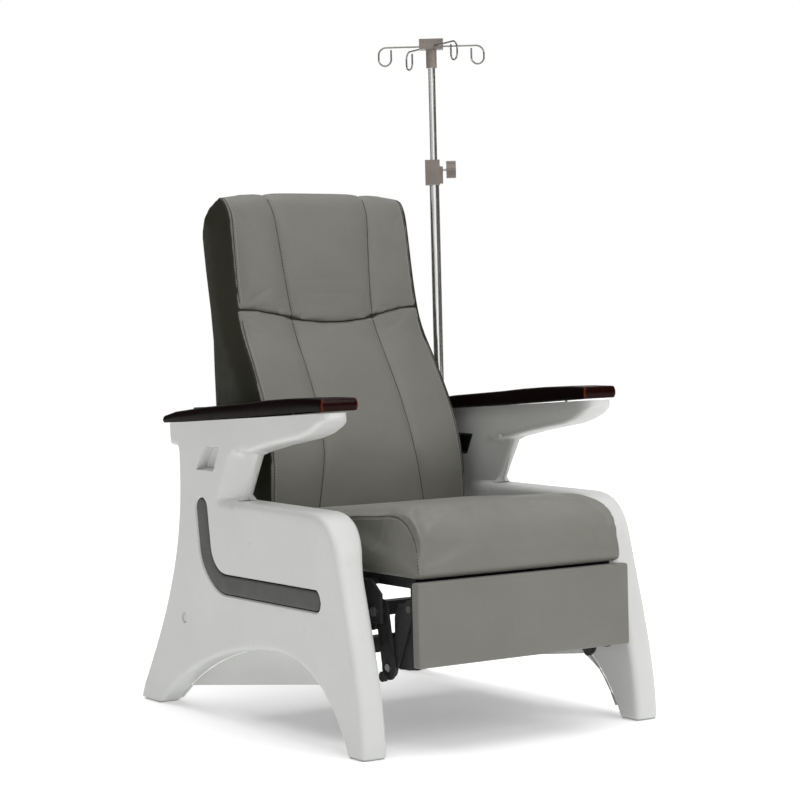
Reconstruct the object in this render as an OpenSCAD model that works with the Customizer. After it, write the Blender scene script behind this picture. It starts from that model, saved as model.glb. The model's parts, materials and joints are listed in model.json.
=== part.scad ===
// Patient recliner chair with moulded side panels, a linked back and leg rest,
// and a telescopic infusion pole.
// Millimetres. X runs across the chair, Y towards its rear, Z up.
// Profiles are drawn in side view as [y, z], with y = 0 at the toe of the front
// feet and z = 0 on the floor; place() then centres the whole chair on the origin.

/* [Overall] */
// Overall width across the side panels
chair_w = 700; // [680:5:760]
// Width of the seat cushion
seat_w = 490; // [460:5:500]
// Width of the leg rest pad
legrest_w = 496; // [460:4:500]
// Width of the back cushion
back_w = 472; // [440:4:480]

/* [Side panels] */
// Thickness of a side panel at the leg
leg_t = 56; // [50:1:60]
// Thickness of a side panel at the neck and arm
arm_t = 70; // [66:1:72]
// Wall thickness of the outer moulding
shell_wall = 6; // [5:1:7]
// Depth of the hand pocket in the outer face
pocket_d = 22; // [18:1:24]
// Width of the swoosh trim band
band_w = 42; // [36:1:44]

/* [Motion] */
// Full recline of the back
recline_deg = 45; // [30:5:45]
// Swing of the lift arms over the full recline
lift_deg = 90; // [80:5:90]
// Length of the back lever that pushes the drive link
back_lever = 62; // [58:1:64]

/* [Infusion pole] */
// Height of the top of the hook head
pole_top = 1442; // [1400:2:1460]
// Outer radius of the fixed pole tube
lower_r = 11; // [10.5:0.25:11.5]
// Outer radius of the sliding pole tube
upper_r = 8; // [7.5:0.25:8.5]
// Reach of a hook from the pole's axis
hook_reach = 118; // [110:1:125]
// Radius of the hook wire
wire_r = 2; // [1.5:0.25:2.5]
// Direction of the long pair of hooks, clockwise from +X
hook_turn = 33.6; // [20:0.2:45]
// Angle between the two pairs of hooks
hook_cross = 61; // [50:1:90]

/* [Hidden] */
$fn = 48;
fit = 0.05;            // running clearance on a radius
clear = 0.3;           // gap between parts that pass each other
half_w = chair_w / 2;
leg_in = half_w - leg_t;
arm_in = half_w - arm_t;
cover_t = 6;
shell_in = leg_in + cover_t;
glide_t = 4;

// Side view joints
lift_pivot = [100, 262];
fold_pivot = [80, 155];
pad_pivot = [14, 272];
back_pivot = [545, 345];
lever_half = recline_deg / 2;
lever_end = back_pivot + back_lever * [sin(lever_half), -cos(lever_half)];
crank_half = lift_deg / 2;
crank_r = back_lever * sin(lever_half) / sin(crank_half);
crank_end = lift_pivot + crank_r * [sin(crank_half), -cos(crank_half)];
// The open eye sits half the rise of the two arcs below the crank pin at rest
eye_drop = (crank_r * (1 - cos(crank_half)) - back_lever * (1 - cos(lever_half))) / 2;
eye_r = 4 + eye_drop + 0.8;
// Tube that ties the two lift arms together
tube_at = [94, 208];
tube_r = 9;

// Layers of the linkage, measured outwards from the chair's middle
bracket_x = [222, 226];
carry_x = [229, 233];
iron_x = [232, 236];
lift_x = [236, 240];
link_x = [243, 247];
plate_x = [250, 256];

// Seat frame, deck and leg rest levels
seat_tube_z = [309, 321];
deck_z = 333;
pad_z = [166, 327];
pad_y = [-41, -18, -7];

pole_at = [300.5, 697];
board_x = [269, 349];
socket_r = lower_r + 2.5;
socket_bottom = 470;
flange_r = socket_r + 5;
flange_z = [633, 641];
clamp_z = [1116, 1172];
tube_top = 1146;
collar_z = [1378, 1419];
rod_z = 1426;
head_half = [27, 15];
screw_z = 1150;
ear_x = [13, 20];
knob_x = [27.5, 49];

// Centre of the whole chair seen from above, hooks and leg rest included
right_most = pole_at[0] + hook_reach * cos(hook_turn) + wire_r;
rear_most = 930;
middle = [(right_most - half_w) / 2, (pad_y[0] + rear_most) / 2];

// ---------- small helpers ----------

// Points of a cubic curve from a to d, without its first point
function curve(a, b, c, d, n = 8) = [
    for (i = [1 : n])
        let (t = i / n, u = 1 - t)
            u * u * u * a + 3 * u * u * t * b + 3 * u * t * t * c + t * t * t * d
];

// Outline moved inwards by d; the outline runs clockwise in side view
function inset(pts, d) = [
    for (i = [0 : len(pts) - 1])
        let (
            n = len(pts),
            p = pts[i],
            a = p - pts[(i + n - 1) % n],
            b = pts[(i + 1) % n] - p,
            na = [a[1], -a[0]] / norm(a),
            nb = [b[1], -b[0]] / norm(b)
        )
            p + d * (na + nb) / (1 + na * nb)
];

function moved(pts, by) = [for (p = pts) p + by];
function reversed(pts) = [for (i = [len(pts) - 1 : -1 : 0]) pts[i]];

// Puts the chair's own frame on the origin
module place() {
    translate([-middle[0], -middle[1], 0])
        children();
}

// The right side as drawn for s = 1, its mirror image for s = -1
module side(s) {
    place()
        mirror([s < 0 ? 1 : 0, 0, 0])
            children();
}

module both_sides() {
    for (s = [-1, 1])
        side(s)
            children();
}

// A side view outline, thick from x[0] to x[1]
module slab(x) {
    translate([x[0], 0, 0])
        rotate([90, 0, 90])
            linear_extrude(x[1] - x[0])
                children();
}

// A round bar along X, at side view point p
module x_rod(x, p, r) {
    translate([x[0], p[0], p[1]])
        rotate([0, 90, 0])
            cylinder(r = r, h = x[1] - x[0]);
}

// A flat bar from p to q in side view, square ended
module bar(x, p, q, w) {
    v = q - p;
    slab(x)
        translate(p)
            rotate(atan2(v[1], v[0]))
                translate([0, -w / 2])
                    square([norm(v), w]);
}

// A flat link from p to q in side view, with round ends a little wider than the bar
module link(x, p, q, w) {
    bar(x, p, q, w);
    x_rod(x, p, w / 2 + 1);
    x_rod(x, q, w / 2 + 1);
}

// A block with its lowest corner at a and its highest corner at b
module block(a, b) {
    translate(a)
        cube(b - a);
}

// ---------- side panel outlines ----------

rear_edge = concat(
    [[rear_most, glide_t]],
    curve([927, 18], [800, 190], [718, 330], [718, 500], 12),
    [[718, 552], [726, 562], [750, 562], [756, 572], [759, 609]]
);
// The narrow front edge of the arm and neck, and the crease where it widens to the full thickness
tip_edge = concat([[121, 642.5]], curve([121, 632], [126, 606], [200, 590], [300, 578], 6));
neck_edge = [[417, 557], [478, 459], [482, 456]];
tip_crease = concat([[153, 640.8]], curve([153, 634], [158, 612], [215, 598], [300, 586], 6));
neck_crease = [[489, 556], [550, 459], [553, 456]];
edge_x = [306, 325];
body_front = concat(
    [[180, 453]],
    curve([180, 453], [122, 452], [94, 424], [78, 380], 7),
    curve([78, 380], [50, 270], [5, 140], [0, 20], 7),
    [[0, glide_t], [62, glide_t]]
);
arch = concat(
    reversed(curve([330, 169], [190, 172], [100, 90], [62, glide_t], 8)),
    [[330, 169]],
    curve([330, 169], [540, 160], [715, 95], [840, glide_t], 9)
);
web_edge = [[84, 46], [119, 89], [171, 118], [811, 37], [840, glide_t]];

// Both run clockwise in side view, which is what inset() expects
function clockwise(pts) = reversed(pts);
arch_inside = [for (i = [1 : len(arch) - 1]) arch[i]];
panel = clockwise(concat(rear_edge, tip_edge, neck_edge, body_front, arch_inside));
full_panel = clockwise(concat(rear_edge, tip_crease, neck_crease, body_front, arch_inside));
cover = clockwise(concat(rear_edge, tip_edge, neck_edge, body_front, web_edge));
neck_rear = concat([[720, 456]], [for (p = rear_edge) if (p[1] > 490) p]);
neck_and_arm = clockwise(concat(neck_rear, tip_edge, neck_edge));
full_neck = clockwise(concat(neck_rear, tip_crease, neck_crease));

pocket = clockwise([[562, 515], [640, 515], [603, 564], [535, 564]]);

// Swoosh: level run, one bend and a leaning leg that ends round
bend_r = 85;
bend_c = [520, 369];
lean = 8;
level_start = [161, bend_c[1] - bend_r];
bend_end = bend_c + bend_r * [cos(lean), -sin(lean)];
leg_end = bend_end + 76 * [sin(lean), cos(lean)];

// The swoosh outline, w wide
module swoosh(w) {
    union() {
        translate([level_start[0], level_start[1] - w / 2])
            square([bend_c[0] - level_start[0], w]);
        translate(level_start)
            circle(w / 2);
        intersection() {
            difference() {
                translate(bend_c)
                    circle(bend_r + w / 2, $fn = 96);
                translate(bend_c)
                    circle(bend_r - w / 2, $fn = 96);
            }
            polygon([
                bend_c, bend_c - [0, 200],
                bend_c + [200, -200], bend_c + 200 * [cos(lean), -sin(lean)]
            ]);
        }
        translate(bend_end)
            rotate(-lean)
                translate([-w / 2, 0])
                    square([w, norm(leg_end - bend_end)]);
        translate(leg_end)
            circle(w / 2);
    }
}

// ---------- side panel pieces ----------

plug_at = [710, 199];
plug_r = 10;
trim_screw_at = [413, 377];
trim_screw_r = 3;
rail_bolt_z = 292;
front_bolts = [140, 170];
rear_bolts = [600, 630];
bolt_r = 4;
arm_screw_ys = [260, 440, 640];
arm_screw_r = 2.5;
screw_below = 34;
screw_above = 13;
bolt_end = 340;
screw_x = 329;
rim_wall = 5;

// Half of space beyond the plane through a, b and c, on the side that cross(b - a, c - a) faces
module beyond(a, b, c) {
    v = cross(b - a, c - a);
    n = v / norm(v);
    translate(a)
        rotate([0, -asin(n[2]), atan2(n[1], n[0])])
            translate([0, -250, -250])
                cube([80, 500, 500]);
}

// Flat facets that narrow the neck and the arm's tip from the creases at x to the front edge at xe
module facets(x, xe) {
    out = sign(x - xe);
    intersection() {
        if (out > 0)
            beyond([x, 550, 459], [x, 489, 556], [xe, 478, 459]);
        else
            beyond([x, 550, 459], [xe, 478, 459], [x, 489, 556]);
        block([200, 350, 457], [400, 700, 557]);
    }
    intersection() {
        if (out > 0)
            beyond([x, 153, 600], [xe, 121, 600], [x, 153, 500]);
        else
            beyond([x, 153, 600], [x, 153, 500], [xe, 121, 600]);
        block([200, 100, 560], [400, 200, 660]);
    }
}

// Height of the arm's top, under the board, at y
function arm_top(y) = 641 - (y - 150) * (641 - 609) / (759 - 150);

module outer_shell() {
    color("whitesmoke")
        difference() {
            slab([shell_in, half_w])
                polygon(panel);
            difference() {
                slab([shell_in - 1, half_w - shell_wall])
                    polygon(inset(full_panel, rim_wall));
                slab([half_w - pocket_d - rim_wall, half_w])
                    polygon(inset(pocket, -rim_wall));
            }
            facets(half_w, edge_x[1]);
            facets(arm_in, edge_x[0]);
            slab([half_w - pocket_d, half_w + 1])
                polygon(pocket);
            slab([half_w - 3, half_w + 1])
                swoosh(band_w + 2 * clear);
            x_rod([half_w - shell_wall - 1, half_w + 1], plug_at, plug_r + fit);
            x_rod([half_w - shell_wall - 1, half_w + 1], trim_screw_at, trim_screw_r + fit);
            for (y = arm_screw_ys)
                translate([screw_x, y, arm_top(y) - 12])
                    cylinder(r = arm_screw_r + fit, h = 20);
            translate([pole_at[0], pole_at[1], socket_bottom - 1])
                cylinder(r = socket_r + fit, h = 200);
        }
}

module inner_cover() {
    bolts = concat(front_bolts, rear_bolts);
    color("whitesmoke")
        difference() {
            union() {
                slab([leg_in, shell_in])
                    polygon(cover);
                slab([arm_in, shell_in])
                    polygon(neck_and_arm);
            }
            facets(arm_in, edge_x[0]);
            slab([arm_in + rim_wall, shell_in + 1])
                polygon(inset(full_neck, rim_wall));
            slab([arm_in - 1, arm_in + 6])
                polygon(inset(pocket, 3));
            for (y = bolts)
                x_rod([leg_in - 1, shell_in + 1], [y, rail_bolt_z], bolt_r + fit);
            translate([pole_at[0], pole_at[1], socket_bottom - 1])
                cylinder(r = socket_r + fit, h = 200);
        }
}

// Rigid foam core of a panel, in three blocks for the body, the neck and the arm.
// It holds the rail bolts and the arm screws.
module panel_core() {
    bolts = concat(front_bolts, rear_bolts);
    neck_top = [[465, 562], [515, 572], [800, 572]];
    color("tan")
        difference() {
            slab([shell_in + clear, half_w - shell_wall - clear])
                polygon(inset(full_panel, rim_wall + clear));
            block([shell_in, 400, 456.5], [half_w, 800, 456.5 + clear]);
            slab([shell_in, half_w])
                polygon(concat(neck_top, reversed(moved(neck_top, [0, clear]))));
            slab([half_w - pocket_d - rim_wall - clear, half_w])
                polygon(inset(pocket, -rim_wall - clear));
            for (y = bolts)
                x_rod([shell_in, bolt_end + 1], [y, rail_bolt_z], bolt_r + fit);
            for (y = arm_screw_ys)
                translate([screw_x, y, arm_top(y) - 60])
                    cylinder(r = arm_screw_r + fit, h = 60);
            translate([pole_at[0], pole_at[1], socket_bottom - 1])
                cylinder(r = socket_r + fit, h = 200);
        }
}

module armrest() {
    front_y = 110;
    nose_r = 14;
    side_view = [
        [front_y, 647], [front_y, 671], [258, 669], [420, 658], [593, 646],
        [730, 634], [774, 626], [779, 610], [759, 609.2], [150, 641.2], [118, 645]
    ];
    color([0.10, 0.05, 0.045])
        difference() {
            intersection() {
                slab(board_x)
                    polygon(side_view);
                union() {
                    block([board_x[0], front_y + nose_r, 500], [board_x[1], 800, 800]);
                    block([board_x[0] + nose_r, front_y, 500], [board_x[1] - nose_r, 800, 800]);
                    for (x = [board_x[0] + nose_r, board_x[1] - nose_r])
                        translate([x, front_y + nose_r, 500])
                            cylinder(r = nose_r, h = 300);
                }
            }
            for (y = arm_screw_ys)
                translate([screw_x, y, arm_top(y) - 1])
                    cylinder(r = arm_screw_r + fit, h = 15);
            translate([pole_at[0], pole_at[1], 550])
                cylinder(r = socket_r + fit, h = 200);
            translate([pole_at[0], pole_at[1], flange_z[0]])
                cylinder(r = flange_r + fit, h = 100);
        }
}

module swoosh_trim() {
    color([0.36, 0.35, 0.33])
        slab([half_w - 2.9, half_w])
            swoosh(band_w);
}

module slot_insert() {
    color([0.06, 0.08, 0.08])
        difference() {
            slab([arm_in, arm_in + 20])
                polygon(inset(pocket, 3 + clear));
            slab([arm_in - 1, arm_in + 17])
                polygon(inset(pocket, 6 + clear));
        }
}

module foot_glides() {
    color([0.75, 0.76, 0.76])
        both_sides() {
            block([shell_in, 6, 0], [half_w - 5, 56, glide_t]);
            block([shell_in, 848, 0], [half_w - 5, 918, glide_t]);
        }
}

module arm_screws() {
    color("silver")
        both_sides()
            for (y = arm_screw_ys)
                translate([screw_x, y, arm_top(y) - screw_below])
                    cylinder(r = arm_screw_r, h = screw_below + screw_above);
}

module panel_bolts() {
    bolts = concat(front_bolts, rear_bolts);
    color([0.2, 0.2, 0.2])
        both_sides()
            for (y = bolts) {
                x_rod([leg_in - 8, bolt_end], [y, rail_bolt_z], bolt_r);
                x_rod([leg_in - 11, leg_in - 4], [y, rail_bolt_z], 7);
            }
}

module side_plugs() {
    color("gainsboro")
        both_sides()
            x_rod([half_w - shell_wall, half_w], plug_at, plug_r);
}

module trim_screws() {
    color("silver")
        both_sides()
            x_rod([half_w - shell_wall, half_w], trim_screw_at, trim_screw_r);
}

// ---------- base and seat ----------

rail_flange = [leg_in - 4, leg_in];
rail_h = [175, 205];

module mech_plate() {
    side_view = [
        [110, 321], [78, 297], [78, 240], [120, 236], [150, 205], [182, 205], [214, 240],
        [585, 240], [600, 205], [632, 205], [632, 268], [570, 352], [560, 364],
        [532, 364], [522, 350], [518, 321]
    ];
    color([0.07, 0.07, 0.07])
        difference() {
            slab(plate_x)
                polygon(side_view);
            x_rod([plate_x[0] - 1, plate_x[1] + 1], lift_pivot, 5 + fit);
            x_rod([plate_x[0] - 1, plate_x[1] + 1], back_pivot, 6 + fit);
        }
}

// A tube across the chair with an end flange bolted to each side panel
module cross_rail(ys, bolts) {
    color([0.07, 0.07, 0.07])
        place()
            difference() {
                union() {
                    block([rail_flange[0] * -1, ys[0], rail_h[0]], [rail_flange[0], ys[1], rail_h[1]]);
                    for (s = [-1, 1])
                        mirror([s < 0 ? 1 : 0, 0, 0])
                            block([rail_flange[0], ys[0] - 10, rail_h[0]],
                                  [rail_flange[1], ys[1] + 10, rail_bolt_z + 14]);
                }
                block([-leg_in - 1, ys[0] + 2, rail_h[0] + 2], [leg_in + 1, ys[1] - 2, rail_h[1] - 2]);
                for (y = bolts)
                    x_rod([-leg_in - 1, leg_in + 1], [y, rail_bolt_z], bolt_r + fit);
            }
}

module seat_frame() {
    run = 218;
    tube = 24;
    color([0.07, 0.07, 0.07])
        place() {
            for (s = [-1, 1])
                mirror([s < 0 ? 1 : 0, 0, 0])
                    block([run - tube, 2, seat_tube_z[0]], [run, 508, seat_tube_z[1]]);
            for (y = [2, 484])
                block([-run, y, seat_tube_z[0]], [run, y + tube, seat_tube_z[1]]);
            for (y = [140, 440])
                block([-plate_x[0], y, seat_tube_z[0]], [plate_x[0], y + tube, seat_tube_z[1]]);
        }
}

module seat_deck() {
    color([0.10, 0.10, 0.10])
        place()
            block([-228, -4, seat_tube_z[1]], [228, 508, deck_z]);
}

module seat_cushion() {
    top = concat(
        curve([-36, 400], [-34, 436], [0, 461], [70, 459], 6),
        [[470, 431], [492, 427], [500, 412]]
    );
    side_view = concat([[500, 338], [494, deck_z], [-16, deck_z], [-30, 338], [-36, 354], [-36, 400]], top);
    color([0.44, 0.43, 0.40])
        place()
            slab([-seat_w / 2, seat_w / 2])
                polygon(side_view);
}

module lift_pivot_pins() {
    color("gray")
        both_sides() {
            x_rod([lift_x[0] - 2, plate_x[1] + 2], lift_pivot, 5);
            x_rod([lift_x[1] + clear, plate_x[0]], lift_pivot, 9);
            x_rod([plate_x[1], plate_x[1] + 5], lift_pivot, 9);
        }
}

module back_pivot_pins() {
    color("gray")
        both_sides() {
            x_rod([iron_x[0] - 2, plate_x[1] + 2], back_pivot, 6);
            x_rod([iron_x[1] + clear, plate_x[0]], back_pivot, 10);
            x_rod([plate_x[1], plate_x[1] + 5], back_pivot, 10);
        }
}

// ---------- back ----------

// Where the front cover is sewn to the sides, from the bottom to the top
seam_low = concat(
    [[516, 392], [516, 480]],
    curve([516, 480], [516, 560], [560, 640], [600, 722], 6),
    curve([600, 722], [640, 800], [656, 815], [664, 842], 3)
);
seam_high = concat(
    [[664, 842]],
    curve([664, 842], [676, 890], [682, 915], [690, 985], 4),
    [[694, 1015], [702, 1048], [716, 1072]]
);
crown = 14;
pad_back = 26;
shell_top = [[766, 1072], [780, 1040]];
shell_rear = [
    [785, 1000], [775, 931], [757, 845], [747, 781], [744, 644], [734, 540], [712, 440], [690, 388]
];

module head_cushion() {
    front = moved(seam_high, [-crown, 0]);
    rear = moved(reversed(seam_high), [pad_back, 0]);
    color([0.44, 0.43, 0.40])
        place()
            slab([-back_w / 2, back_w / 2])
                polygon(concat(front, [[714, 1086], [738, 1092], [746, 1088]], rear));
}

module back_cushion() {
    front = moved(seam_low, [-crown, 0]);
    rear = moved(reversed(seam_low), [pad_back, 0]);
    color([0.44, 0.43, 0.40])
        place()
            slab([-back_w / 2, back_w / 2])
                polygon([
                    for (p = concat(front, rear))
                        [p[0], min(p[1], 842 - clear)]
                ]);
}

// The back's case: two upholstered side boards with a curved rear cover between them
case_half = 246;
case_wall = 8;
case_front = moved(
    concat(seam_low, [for (i = [1 : len(seam_high) - 1]) seam_high[i]]),
    [pad_back + clear, 0]
);
case_view = concat(case_front, [[748, 1088]], shell_top, shell_rear);

module back_side() {
    color([0.13, 0.13, 0.10])
        slab([case_half - case_wall, case_half])
            polygon(case_view);
}

module back_cover() {
    hollow = concat(
        moved(case_front, [-60, 0]),
        [[700, 1079], [740, 1079], [757, 1066], [770, 1036]],
        moved(shell_rear, [-case_wall, 0]),
        [[675, 300], [456, 300]]
    );
    half = case_half - case_wall;
    color([0.13, 0.13, 0.10])
        place()
            difference() {
                slab([-half, half])
                    polygon(case_view);
                slab([-half - 1, half + 1])
                    polygon(hollow);
            }
}

// The side irons of the back, each with a lever below the pivot
module back_irons() {
    path = [back_pivot, [576, 460], [676, 740], [718, 842], [746, 1000]];
    color([0.07, 0.07, 0.07])
        both_sides()
            difference() {
                union() {
                    for (i = [0 : len(path) - 2])
                        link(iron_x, path[i], path[i + 1], 26);
                    link(iron_x, back_pivot, lever_end, 26);
                }
                x_rod([iron_x[0] - 1, iron_x[1] + 1], back_pivot, 6 + fit);
                x_rod([iron_x[0] - 1, iron_x[1] + 1], lever_end, 4 + fit);
            }
}

// Square bars across the back, between the irons
module back_bars() {
    color([0.07, 0.07, 0.07])
        place()
            for (p = [[610, 560], [694, 790], [734, 950]])
                bar([-iron_x[0], iron_x[0]], p, p + [6, 20], 18);
}

module lever_pins() {
    color("gray")
        both_sides() {
            x_rod([iron_x[0], link_x[1] + 1], lever_end, 4);
            x_rod([iron_x[0] - 3, iron_x[0]], lever_end, 7);
        }
}

module drive_links() {
    eye = crank_end - [0, eye_drop];
    color([0.12, 0.12, 0.12])
        both_sides()
            difference() {
                union() {
                    bar(link_x, lever_end, eye, 20);
                    x_rod(link_x, lever_end, 11);
                    x_rod(link_x, eye, eye_r + 5);
                }
                x_rod([link_x[0] - 1, link_x[1] + 1], lever_end, 4 + fit);
                x_rod([link_x[0] - 1, link_x[1] + 1], eye, eye_r);
            }
}

// ---------- leg rest linkage ----------

module lift_arms() {
    color([0.07, 0.07, 0.07])
        both_sides()
            difference() {
                union() {
                    link(lift_x, lift_pivot, fold_pivot, 44);
                    link(lift_x, lift_pivot, crank_end, 26);
                }
                x_rod([lift_x[0] - 1, lift_x[1] + 1], lift_pivot, 5 + fit);
                x_rod([lift_x[0] - 1, lift_x[1] + 1], fold_pivot, 5 + fit);
                x_rod([lift_x[0] - 1, lift_x[1] + 1], crank_end, 4 + fit);
                x_rod([lift_x[0] - 1, lift_x[1] + 1], tube_at, tube_r + fit);
            }
}

module lift_cross_tube() {
    color([0.07, 0.07, 0.07])
        place()
            x_rod([-lift_x[1], lift_x[1]], tube_at, tube_r);
}

module fold_pins() {
    color("gray")
        both_sides() {
            x_rod([carry_x[0] - 1, lift_x[1]], fold_pivot, 5);
            x_rod([lift_x[1], lift_x[1] + 3], fold_pivot, 8);
        }
}

module crank_pins() {
    color("gray")
        both_sides()
            x_rod([lift_x[0], link_x[1] + 1], crank_end, 4);
}

// Rubber rollers beside the lower ends of the lift arms
module arm_bumpers() {
    color([0.03, 0.03, 0.03])
        both_sides()
            x_rod([lift_x[1], plate_x[0] - 1], fold_pivot + [11, -17], 10);
}

module carry_arms() {
    color([0.07, 0.07, 0.07])
        both_sides()
            difference() {
                link(carry_x, fold_pivot, pad_pivot, 34);
                x_rod([carry_x[0] - 1, carry_x[1] + 1], fold_pivot, 5 + fit);
                x_rod([carry_x[0] - 1, carry_x[1] + 1], pad_pivot, 4 + fit);
            }
}

module pad_pins() {
    color("gray")
        both_sides() {
            x_rod([bracket_x[0] - 1, carry_x[1]], pad_pivot, 4);
            x_rod([carry_x[1], carry_x[1] + 2], pad_pivot, 7);
        }
}

// Deep side plates that hide the arms, each with a flange screwed to the board
module legrest_brackets() {
    side_view = [
        [pad_y[2], 160], [pad_y[2], 282], [22, 282], [62, 278],
        [76, 252], [78, 162], [60, 153], [0, 158]
    ];
    color([0.07, 0.07, 0.07])
        both_sides()
            difference() {
                union() {
                    slab(bracket_x)
                        polygon(side_view);
                    block([bracket_x[0] - 24, pad_y[2], 200], [bracket_x[1], pad_y[2] + 3, 282]);
                }
                x_rod([bracket_x[0] - 1, bracket_x[1] + 1], pad_pivot, 4 + fit);
            }
}

module legrest_board() {
    color([0.07, 0.07, 0.07])
        place()
            block([-legrest_w / 2 + 6, pad_y[1], pad_z[0] + 4],
                  [legrest_w / 2 - 6, pad_y[2], pad_z[1] - 3]);
}

module legrest_pad() {
    color([0.44, 0.43, 0.40])
        place()
            block([-legrest_w / 2, pad_y[0], pad_z[0]], [legrest_w / 2, pad_y[1], pad_z[1]]);
}

// ---------- infusion pole ----------

module on_pole() {
    place()
        translate([pole_at[0], pole_at[1], 0])
            children();
}

module tube(r_out, r_in, z) {
    difference() {
        translate([0, 0, z[0]])
            cylinder(r = r_out, h = z[1] - z[0]);
        translate([0, 0, z[0] - 1])
            cylinder(r = r_in, h = z[1] - z[0] + 2);
    }
}

// Sleeve inside the panel with a cup floor and a flange on the arm board
module pole_socket() {
    color([0.30, 0.28, 0.26])
        translate([pole_at[0], pole_at[1], 0])
            difference() {
                union() {
                    translate([0, 0, socket_bottom])
                        cylinder(r = socket_r, h = flange_z[1] - socket_bottom);
                    translate([0, 0, flange_z[0]])
                        cylinder(r = flange_r, h = flange_z[1] - flange_z[0]);
                }
                translate([0, 0, socket_bottom + 4])
                    cylinder(r = lower_r + fit, h = 400);
            }
}

module pole_lower_tube() {
    color("silver")
        on_pole()
            tube(lower_r, upper_r + 0.8, [socket_bottom + 4, tube_top]);
}

module pole_clamp() {
    color([0.48, 0.43, 0.38])
        on_pole()
            rotate(-hook_turn)
                difference() {
                    union() {
                        block([-20, -15, clamp_z[0]], [ear_x[0], 15, clamp_z[1]]);
                        block([ear_x[0] - 1, -10, clamp_z[0] + 3], [ear_x[1], 10, clamp_z[1] - 15]);
                    }
                    translate([0, 0, clamp_z[0] - 1])
                        cylinder(r = lower_r + fit, h = tube_top - clamp_z[0] + 1);
                    cylinder(r = upper_r + fit, h = 1500);
                    x_rod([4, ear_x[1] + 1], [0, screw_z], 3 + fit);
                }
}

module pole_upper_tube() {
    color("silver")
        on_pole()
            tube(upper_r, upper_r - 1.2, [720, collar_z[0] + 22]);
}

module hook_collar() {
    color([0.48, 0.43, 0.38])
        on_pole()
            difference() {
                translate([0, 0, collar_z[0]])
                    cylinder(r = 12, h = collar_z[1] - collar_z[0]);
                translate([0, 0, collar_z[0] - 1])
                    cylinder(r = upper_r + fit, h = 24);
            }
}

module hook_head() {
    color([0.48, 0.43, 0.38])
        on_pole()
            difference() {
                rotate(-hook_turn)
                    block([-head_half[0], -head_half[1], collar_z[1]], [head_half[0], head_half[1], pole_top]);
                for (turn = [0, hook_cross, 180, 180 + hook_cross])
                    rotate(-hook_turn - turn)
                        translate([0, 0, rod_z])
                            rotate([0, 90, 0])
                                cylinder(r = wire_r + fit, h = 60);
            }
}

// One wire hook: a straight arm, a fall, a round bottom and a rise back to the arm
module hook(turn) {
    fall_r = 18;
    bowl_r = 14;
    start = 8;
    fall_c = hook_reach - fall_r;
    bowl_c = hook_reach - bowl_r;
    color("silver")
        on_pole()
            rotate(-hook_turn - turn)
                translate([0, 0, rod_z]) {
                    translate([start, 0, 0])
                        rotate([0, 90, 0])
                            cylinder(r = wire_r, h = fall_c - start);
                    translate([fall_c, 0, -fall_r])
                        rotate([90, 0, 0])
                            rotate_extrude(angle = 90)
                                translate([fall_r, 0])
                                    circle(wire_r, $fn = 24);
                    translate([hook_reach, 0, -fall_r - 9])
                        cylinder(r = wire_r, h = 9);
                    translate([bowl_c, 0, -fall_r - 9])
                        rotate([90, 0, 0])
                            rotate([0, 0, 180])
                                rotate_extrude(angle = 180)
                                    translate([bowl_r, 0])
                                        circle(wire_r, $fn = 24);
                    translate([bowl_c - bowl_r, 0, -fall_r - 9])
                        cylinder(r = wire_r, h = 20);
                    translate([bowl_c - bowl_r, 0, -fall_r + 11])
                        sphere(wire_r, $fn = 24);
                }
}

module clamp_screw() {
    color("silver")
        on_pole()
            rotate(-hook_turn)
                x_rod([upper_r + 0.1, knob_x[0] + 9], [0, screw_z], 3);
}

module clamp_knob() {
    lobes = 6;
    color([0.48, 0.43, 0.38])
        on_pole()
            rotate(-hook_turn)
                difference() {
                    union() {
                        x_rod(knob_x, [0, screw_z], 17);
                        for (i = [0 : lobes - 1])
                            x_rod(knob_x, [0, screw_z] + 15 * [cos(i * 360 / lobes), sin(i * 360 / lobes)], 6);
                    }
                    x_rod([knob_x[0] - 1, knob_x[0] + 9], [0, screw_z], 3 + fit);
                }
}

// ---------- one line per node ----------

side(-1) outer_shell();  // outer_shell_left
side(1) outer_shell();  // outer_shell_right
side(-1) inner_cover();  // inner_cover_left
side(1) inner_cover();  // inner_cover_right
side(-1) panel_core();  // panel_core_left
side(1) panel_core();  // panel_core_right
side(-1) armrest();  // armrest_left
side(1) armrest();  // armrest_right
side(-1) swoosh_trim();  // swoosh_trim_left
side(1) swoosh_trim();  // swoosh_trim_right
side(-1) slot_insert();  // slot_insert_left
side(1) slot_insert();  // slot_insert_right
foot_glides();
arm_screws();
panel_bolts();
side_plugs();
trim_screws();
side(-1) mech_plate();  // mech_plate_left
side(1) mech_plate();  // mech_plate_right
cross_rail([150, 180], front_bolts);  // front_cross_rail
cross_rail([600, 630], rear_bolts);  // rear_cross_rail
seat_frame();
seat_deck();
seat_cushion();
lift_pivot_pins();
back_pivot_pins();
side(-1) pole_socket();  // pole_socket_left
side(1) pole_socket();  // pole_socket_right
pole_lower_tube();
pole_clamp();
back_irons();
back_bars();
side(-1) back_side();  // back_side_left
side(1) back_side();  // back_side_right
back_cover();
back_cushion();
head_cushion();
lever_pins();
drive_links();
lift_arms();
lift_cross_tube();
fold_pins();
crank_pins();
arm_bumpers();
carry_arms();
pad_pins();
legrest_brackets();
legrest_board();
legrest_pad();
pole_upper_tube();
hook_head();
hook_collar();
hook(180);  // hook_left
hook(0);  // hook_right
hook(hook_cross);  // hook_front
hook(180 + hook_cross);  // hook_rear
clamp_screw();
clamp_knob();
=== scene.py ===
import json
import math

import bmesh
import bpy
import numpy as np
from mathutils import Matrix, Vector
from mathutils.bvhtree import BVHTree
from mathutils.geometry import delaunay_2d_cdt


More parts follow.
